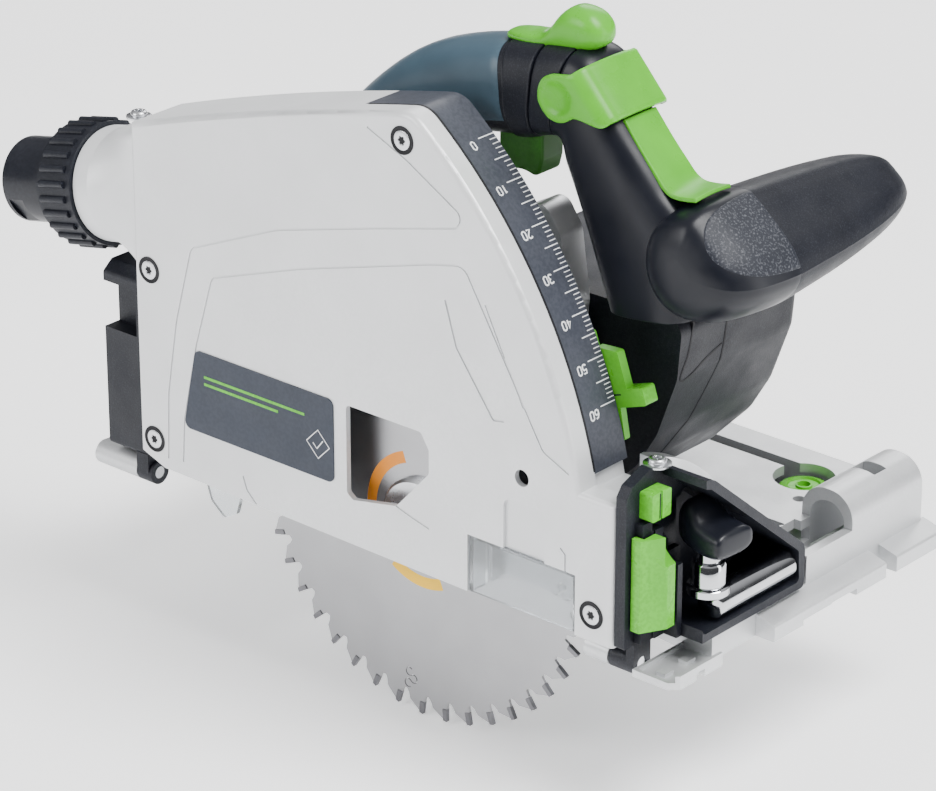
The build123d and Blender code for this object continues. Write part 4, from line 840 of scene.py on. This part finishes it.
# ---------------------------------------------------------------- cover screws
def torx_head(name, centre, direction, radius, height, hole):
    """Low button head with a six-lobed recess."""
    w = Vector(direction).normalized()
    u = Vector((1, 0, 0)) if abs(w.x) < 0.9 else Vector((0, 0, 1))
    u = (u - w * u.dot(w)).normalized()
    v = w.cross(u)
    profile = [(radius * 0.96, -0.6), (radius, 0.0), (radius * 0.97, height * 0.5),
               (radius * 0.84, height * 0.86), (radius * 0.66, height), (hole * 1.12, height * 0.98),
               (hole, height * 0.80), (hole * 0.9, height * 0.1), (hole * 0.3, 0.0)]
    rings = []
    for reach, level in profile:
        ring = []
        for step in range(60):
            angle = 2 * math.pi * step / 60
            lobe = 1 + (0.17 * math.cos(6 * angle) if reach < hole * 1.05 else 0.0)
            outward = u * math.cos(angle) + v * math.sin(angle)
            ring.append(Vector(centre) + w * level + outward * reach * lobe)
        rings.append(ring)
    return link_mesh(name, skin(rings), STEEL, "guard")


COVER_SCREWS = [(1.3, 183.0), (-133.3, 95.5), (-133.3, 22.3), (93.3, 19.5)]
COVER_FACE = -12.0
# WELL_SHADE: (distance out of the face, radius, rib amount) of a thin dark disc round each screw head,
# painted shade of the recess the screw sits in
WELL_SHADE = [(0.0, 3.0, 0), (0.1, 5.55, 0), (0.32, 5.5, 0), (0.36, 5.2, 0), (0.2, 4.9, 0), (0.15, 3.0, 0)]
for index, (x, z) in enumerate(COVER_SCREWS):
    well_shade = spun(f"screw_well_shade_{index}", WELL_SHADE, (x, COVER_FACE, z), (0, -1, 0), DARK, "guard", count=64)
    head = torx_head(f"screw_head_{index}", (x, COVER_FACE - 0.05, z), (0, -1, 0), 3.9, height=0.5, hole=1.7)

# ---------------------------------------------------------------- nameplate: two plain bars and a diamond
PLATE_FACE = -12.5


def plate_place(x, z, lift):
    return Vector((x, PLATE_FACE - lift, z)) * MM


mark = bmesh.new()
for x0, x1, z in ((-104, -50, 58.0), (-104, -64, 55.0)):
    ribbon(mark, [(x0, z), (x1, z)], 1.1, plate_place)
link_mesh("plate_mark", mark, GREEN, "guard", smooth=False)
mark = bmesh.new()
diamond = [(-46, 44.5), (-49, 47.5), (-43, 53.5), (-37, 47.5), (-43, 41.5), (-46.2, 44.7)]
ribbon(mark, diamond, 0.45, plate_place)
ribbon(mark, [(-45.6, 47.5), (-43.6, 45.5), (-40.4, 49.5)], 0.5, plate_place)
link_mesh("plate_sign", mark, WHITE, "guard", smooth=False)

# ---------------------------------------------------------------- blade print
def blade_arc(name, inner, outer, start, end, shader):
    mesh = bmesh.new()
    rows = []
    steps = max(6, int((end - start) / 3))
    for step in range(steps + 1):
        angle = math.radians(start + (end - start) * step / steps)
        row = []
        for radius, y in ((inner, -0.61), (outer, -0.61), (outer, -0.5), (inner, -0.5)):
            row.append(mesh.verts.new(Vector((ARBOR.x / MM + radius * math.cos(angle), y,
                                              ARBOR.z / MM + radius * math.sin(angle))) * MM))
        rows.append(row)
    close_bar(mesh, rows)
    return link_mesh(name, mesh, shader, "blade", smooth=False)


blade_arc("print_arc_low", 23.6, 28.4, 236, 292, YELLOW)
blade_arc("print_arc_high", 23.6, 28.4, 110, 190, ORANGE)

# ---------------------------------------------------------------- clamp knob: tall lobe and low tongue
KNOB = Vector(joints["front_clamp_turn"]["pos_m"]) / MM
# sections: (along the wings, half width, low, high)
KNOB_ROWS = [(-10.9, 3.0, 49.0, 55.0), (-10.2, 5.6, 46.5, 58.6), (-8.2, 7.4, 44.8, 61.6),
             (-4.8, 8.7, 43.6, 62.6), (-1.4, 9.2, 43.2, 60.4), (1.8, 9.5, 43.0, 57.2), (5.4, 9.8, 43.0, 55.8),
             (9.0, 9.9, 43.4, 55.2), (11.6, 9.8, 44.4, 54.8), (12.8, 9.2, 45.8, 53.8),
             (13.2, 7.6, 47.4, 52.4)]
KNOB_TURN = -4


def knob_ring(along, half, low, high):
    middle = (low + high) / 2
    turn = math.radians(KNOB_TURN)
    ring = []
    for c, s in super_ring(48, 3.2):
        side = s * half
        ring.append((KNOB.x + along * math.cos(turn) - side * math.sin(turn),
                     KNOB.y + along * math.sin(turn) + side * math.cos(turn), middle + c * (high - low) / 2))
    return ring


knob_rings = [knob_ring(*catmull(KNOB_ROWS, k / 4)) for k in range((len(KNOB_ROWS) - 1) * 4 + 1)]
clamp_knob = link_mesh("clamp_knob_shape", skin(knob_rings), BLACK_SMOOTH, "front_clamp")
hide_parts("front_clamp_knob")

# ---------------------------------------------------------------- guide wheels with a knurled rim
for letter, name in (("a", "rail_wheel_front"), ("b", "rail_wheel_rear")):
    wheel_low, wheel_high = (Vector(v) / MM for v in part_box(name))
    spot = (wheel_low + wheel_high) / 2
    body = f"rail_wheel_{letter}"
    radius = (wheel_high.x - wheel_low.x) / 2
    tall = wheel_high.z - wheel_low.z
    profile = [(0.0, 4.0, 0), (0.1, radius - 2.2, 0), (0.9, radius - 1.0, 1), (tall - 1.2, radius - 1.0, 1),
               (tall - 0.3, radius - 2.2, 0), (tall - 0.1, radius - 3.2, 0), (tall - 0.9, radius - 3.8, 0),
               (tall - 1.0, 3.4, 0), (tall - 0.2, 3.2, 0), (tall - 0.1, 2.6, 0), (tall - 2.0, 2.3, 0),
               (tall - 2.1, 0.4, 0)]
    wheel = spun(f"wheel_rim_{letter}", profile, (spot.x, spot.y, wheel_low.z), (0, 0, 1), GREEN, body,
                 ribs=36, depth=0.9, width=0.62, count=288)
    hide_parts(name)

# ---------------------------------------------------------------- screws on top of the duct and carrier
for index, (x, y, z, size) in enumerate(((-151.5, 3.0, 152.2, 3.4), (107.0, 8.0, 79.2, 3.6))):
    torx_head(f"top_screw_{index}", (x, y, z), (0, 0, 1), size, height=1.6, hole=1.6)
    dish = [(-0.8, 1.5, 0), (-0.6, size * 1.5, 0), (0.1, size * 1.5, 0), (0.25, size * 1.4, 0), (0.2, 1.5, 0)]
    washer = spun(f"top_washer_{index}", dish, (x, y, z - 0.6), (0, 0, 1), STEEL, "guard", count=48)

# ---------------------------------------------------------------- motor: seams over the CAD shape
MOTOR_SKIN = [(90, 117.6), (88, 94), (79, 69), (70, 54), (50, 33.5), (30, 27.6)]


def motor_skin_point(s, y, lift):
    """Point on the front of the motor's outline, at a distance s along it from its top."""
    for (x0, z0), (x1, z1) in zip(MOTOR_SKIN, MOTOR_SKIN[1:]):
        length = math.hypot(x1 - x0, z1 - z0)
        if s <= length or (x1, z1) == MOTOR_SKIN[-1]:
            t = min(1.0, s / length)
            normal = Vector((z0 - z1, x1 - x0)).normalized()
            if normal.x < 0:
                normal = -normal
            spot = Vector((x0 + (x1 - x0) * t, z0 + (z1 - z0) * t)) + normal * lift
            return Vector((spot.x, y, spot.y))
        s -= length


def motor_seam(name, line, width=0.9, lift=0.12, sink=-1.0):
    """Fine raised strip on the motor's front, along a line of (s, y) points."""
    mesh = bmesh.new()
    fine = [catmull(line, k / 6) for k in range((len(line) - 1) * 6 + 1)]
    rows = []
    for index, (s, y) in enumerate(fine):
        before, after = fine[max(index - 1, 0)], fine[min(index + 1, len(fine) - 1)]
        step = Vector((after[0] - before[0], after[1] - before[1])).normalized()
        side = Vector((-step.y, step.x)) * width / 2
        corners = ((side, lift), (-side, lift), (-side, sink), (side, sink))
        rows.append([mesh.verts.new(motor_skin_point(s + shift.x, y + shift.y, level) * MM)
                     for shift, level in corners])
    close_bar(mesh, rows)
    made = link_mesh(name, mesh, DARK, "saw_unit", smooth=False)


motor_seam("motor_seam_long", [(4, 71), (18, 70), (34, 67), (52, 62), (70, 56), (88, 49)])
motor_seam("motor_seam_hook", [(2, 50), (14, 48.5), (20, 46), (23.5, 45), (25.5, 47), (24.5, 51), (20, 60),
                               (17, 69)])

# ---------------------------------------------------------------- clamp bush and rod
BUSH = [(0.0, 7.6, 0), (0.6, 8.2, 0), (3.2, 8.2, 0), (3.8, 7.6, 0), (4.0, 6.6, 0), (12.4, 6.6, 0),
        (13.2, 6.0, 0), (13.4, 4.8, 0), (17.6, 4.8, 0), (18.0, 4.4, 0)]
bush = spun("clamp_bush_shape", BUSH, (KNOB.x, KNOB.y, 25.4), (0, 0, 1), CHROME, "guard", count=64)
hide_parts("front_clamp_stud")
ROD = [(0.0, 4.8, 0), (0.9, 6.0, 0), (45.6, 6.0, 0), (46.4, 5.2, 0)]
rod = spun("clamp_rod_shape", ROD, (122.8, 20.4, 21.3), (0, 1, 0), CHROME, "guard", count=64)
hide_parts("front_clamp_rod")

# ---------------------------------------------------------------- marks on the stop and the cut pointer
stop_marks = bmesh.new()
STOP_FACE = 17.4
for angle, low_radius, high_radius in ((19.45, 214.5, 219.5), (21.4, 214.2, 216.4), (22.4, 214.2, 215.6)):
    turn = math.radians(angle)
    line = [(PIVOT_MM.x + reach * math.cos(turn), PIVOT_MM.z + reach * math.sin(turn))
            for reach in (low_radius, high_radius)]
    ribbon(stop_marks, line, 0.6, lambda x, z, lift: Vector((x, STOP_FACE - lift, z)) * MM)
link_mesh("stop_mark", stop_marks, DARK, "stop", smooth=False)
pointer_low, pointer_high = (Vector(v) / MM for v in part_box("cut_pointer"))
pointer_mesh = bmesh.new()
ribbon(pointer_mesh, [(0.0, pointer_low.z + 0.5), (0.0, pointer_high.z - 0.5)], 0.7,
       lambda y, z, lift: Vector((pointer_high.x + lift, y, z)) * MM)
link_mesh("pointer_mark", pointer_mesh, DARK, "guard", smooth=False)

# ---------------------------------------------------------------- floor, light, camera
FLOOR_GAP = 0.0005
floor_mesh = bmesh.new()
bmesh.ops.create_grid(floor_mesh, x_segments=1, y_segments=1, size=6)
floor_data = bpy.data.meshes.new("floor")
floor_mesh.to_mesh(floor_data)
floor = bpy.data.objects.new("floor", floor_data)
floor.location = (0, 0, cad_box[0][2] - FLOOR_GAP)
bpy.context.scene.collection.objects.link(floor)
FLOOR = Shader("pale_floor", (0.97, 0.97, 0.975), 0.6).mottle(3, 0.01).uneven_gloss(8, 0.05)
FLOOR.bsdf.inputs["Emission Color"].default_value = (1, 1, 1, 1)
FLOOR.bsdf.inputs["Emission Strength"].default_value = 0.46
floor.data.materials.append(FLOOR.material)

world = bpy.data.worlds.new("studio")
world.use_nodes = True
sky = world.node_tree
sky_coords = sky.nodes.new("ShaderNodeTexCoord")
sky_split = sky.nodes.new("ShaderNodeSeparateXYZ")
sky_ramp = sky.nodes.new("ShaderNodeValToRGB")
sky_ramp.color_ramp.elements[0].position = 0.50
sky_ramp.color_ramp.elements[0].color = (0.10, 0.10, 0.11, 1)
sky_ramp.color_ramp.elements[1].position = 1.0
sky_ramp.color_ramp.elements[1].color = (1.0, 1.0, 1.0, 1)
for place, level in ((0.62, 0.16), (0.74, 0.62), (0.84, 0.90)):
    stop = sky_ramp.color_ramp.elements.new(place)
    stop.color = (level, level, level * 1.02, 1)
sky_height = sky.nodes.new("ShaderNodeMapRange")
sky_height.inputs["From Min"].default_value = -1.0
sky.links.new(sky_coords.outputs["Generated"], sky_split.inputs["Vector"])
sky.links.new(sky_split.outputs["Z"], sky_height.inputs["Value"])
sky.links.new(sky_height.outputs["Result"], sky_ramp.inputs["Fac"])
sky.links.new(sky_ramp.outputs["Color"], sky.nodes["Background"].inputs["Color"])
sky.nodes["Background"].inputs["Strength"].default_value = 0.75
bpy.context.scene.world = world

MIDDLE = Vector((-0.03, 0.05, 0.08))


def softbox(name, place, width, height, power, target=MIDDLE):
    light = bpy.data.lights.new(name, "AREA")
    light.shape = "RECTANGLE"
    light.size = width
    light.size_y = height
    light.energy = power
    lamp = bpy.data.objects.new(name, light)
    lamp.location = place
    lamp.rotation_euler = (target - Vector(place)).to_track_quat("-Z", "Y").to_euler()
    bpy.context.scene.collection.objects.link(lamp)


softbox("key_light", (0.75, 0.1, 1.3), 0.7, 0.7, 16)
softbox("fill_light", (-0.7, -1.5, 0.9), 1.0, 1.0, 22)
softbox("side_light", (1.5, 0.6, 0.5), 0.5, 1.1, 9)
softbox("back_light", (-0.6, 1.4, 1.0), 1.0, 0.7, 9)
sun = bpy.data.lights.new("sun", "SUN")
sun.energy = 2.6
sun.angle = math.radians(28)
sun_lamp = bpy.data.objects.new("sun", sun)
sun_lamp.rotation_euler = Vector((-0.45, -0.2, -1.0)).to_track_quat("-Z", "Y").to_euler()
bpy.context.scene.collection.objects.link(sun_lamp)

CAMERA_AXES = Matrix(((0.7540, -0.2686, 0.5994), (0.6568, 0.3083, -0.6881), (0.0, 0.9125, 0.4089)))
camera_data = bpy.data.cameras.new("camera")
camera_data.lens = 155.8
camera_data.sensor_width = 36.0
camera_data.sensor_fit = "HORIZONTAL"
camera = bpy.data.objects.new("camera", camera_data)
camera.matrix_world = Matrix.Translation((0.9307, -1.0423, 0.7026)) @ CAMERA_AXES.to_4x4()
bpy.context.scene.collection.objects.link(camera)
bpy.context.scene.camera = camera
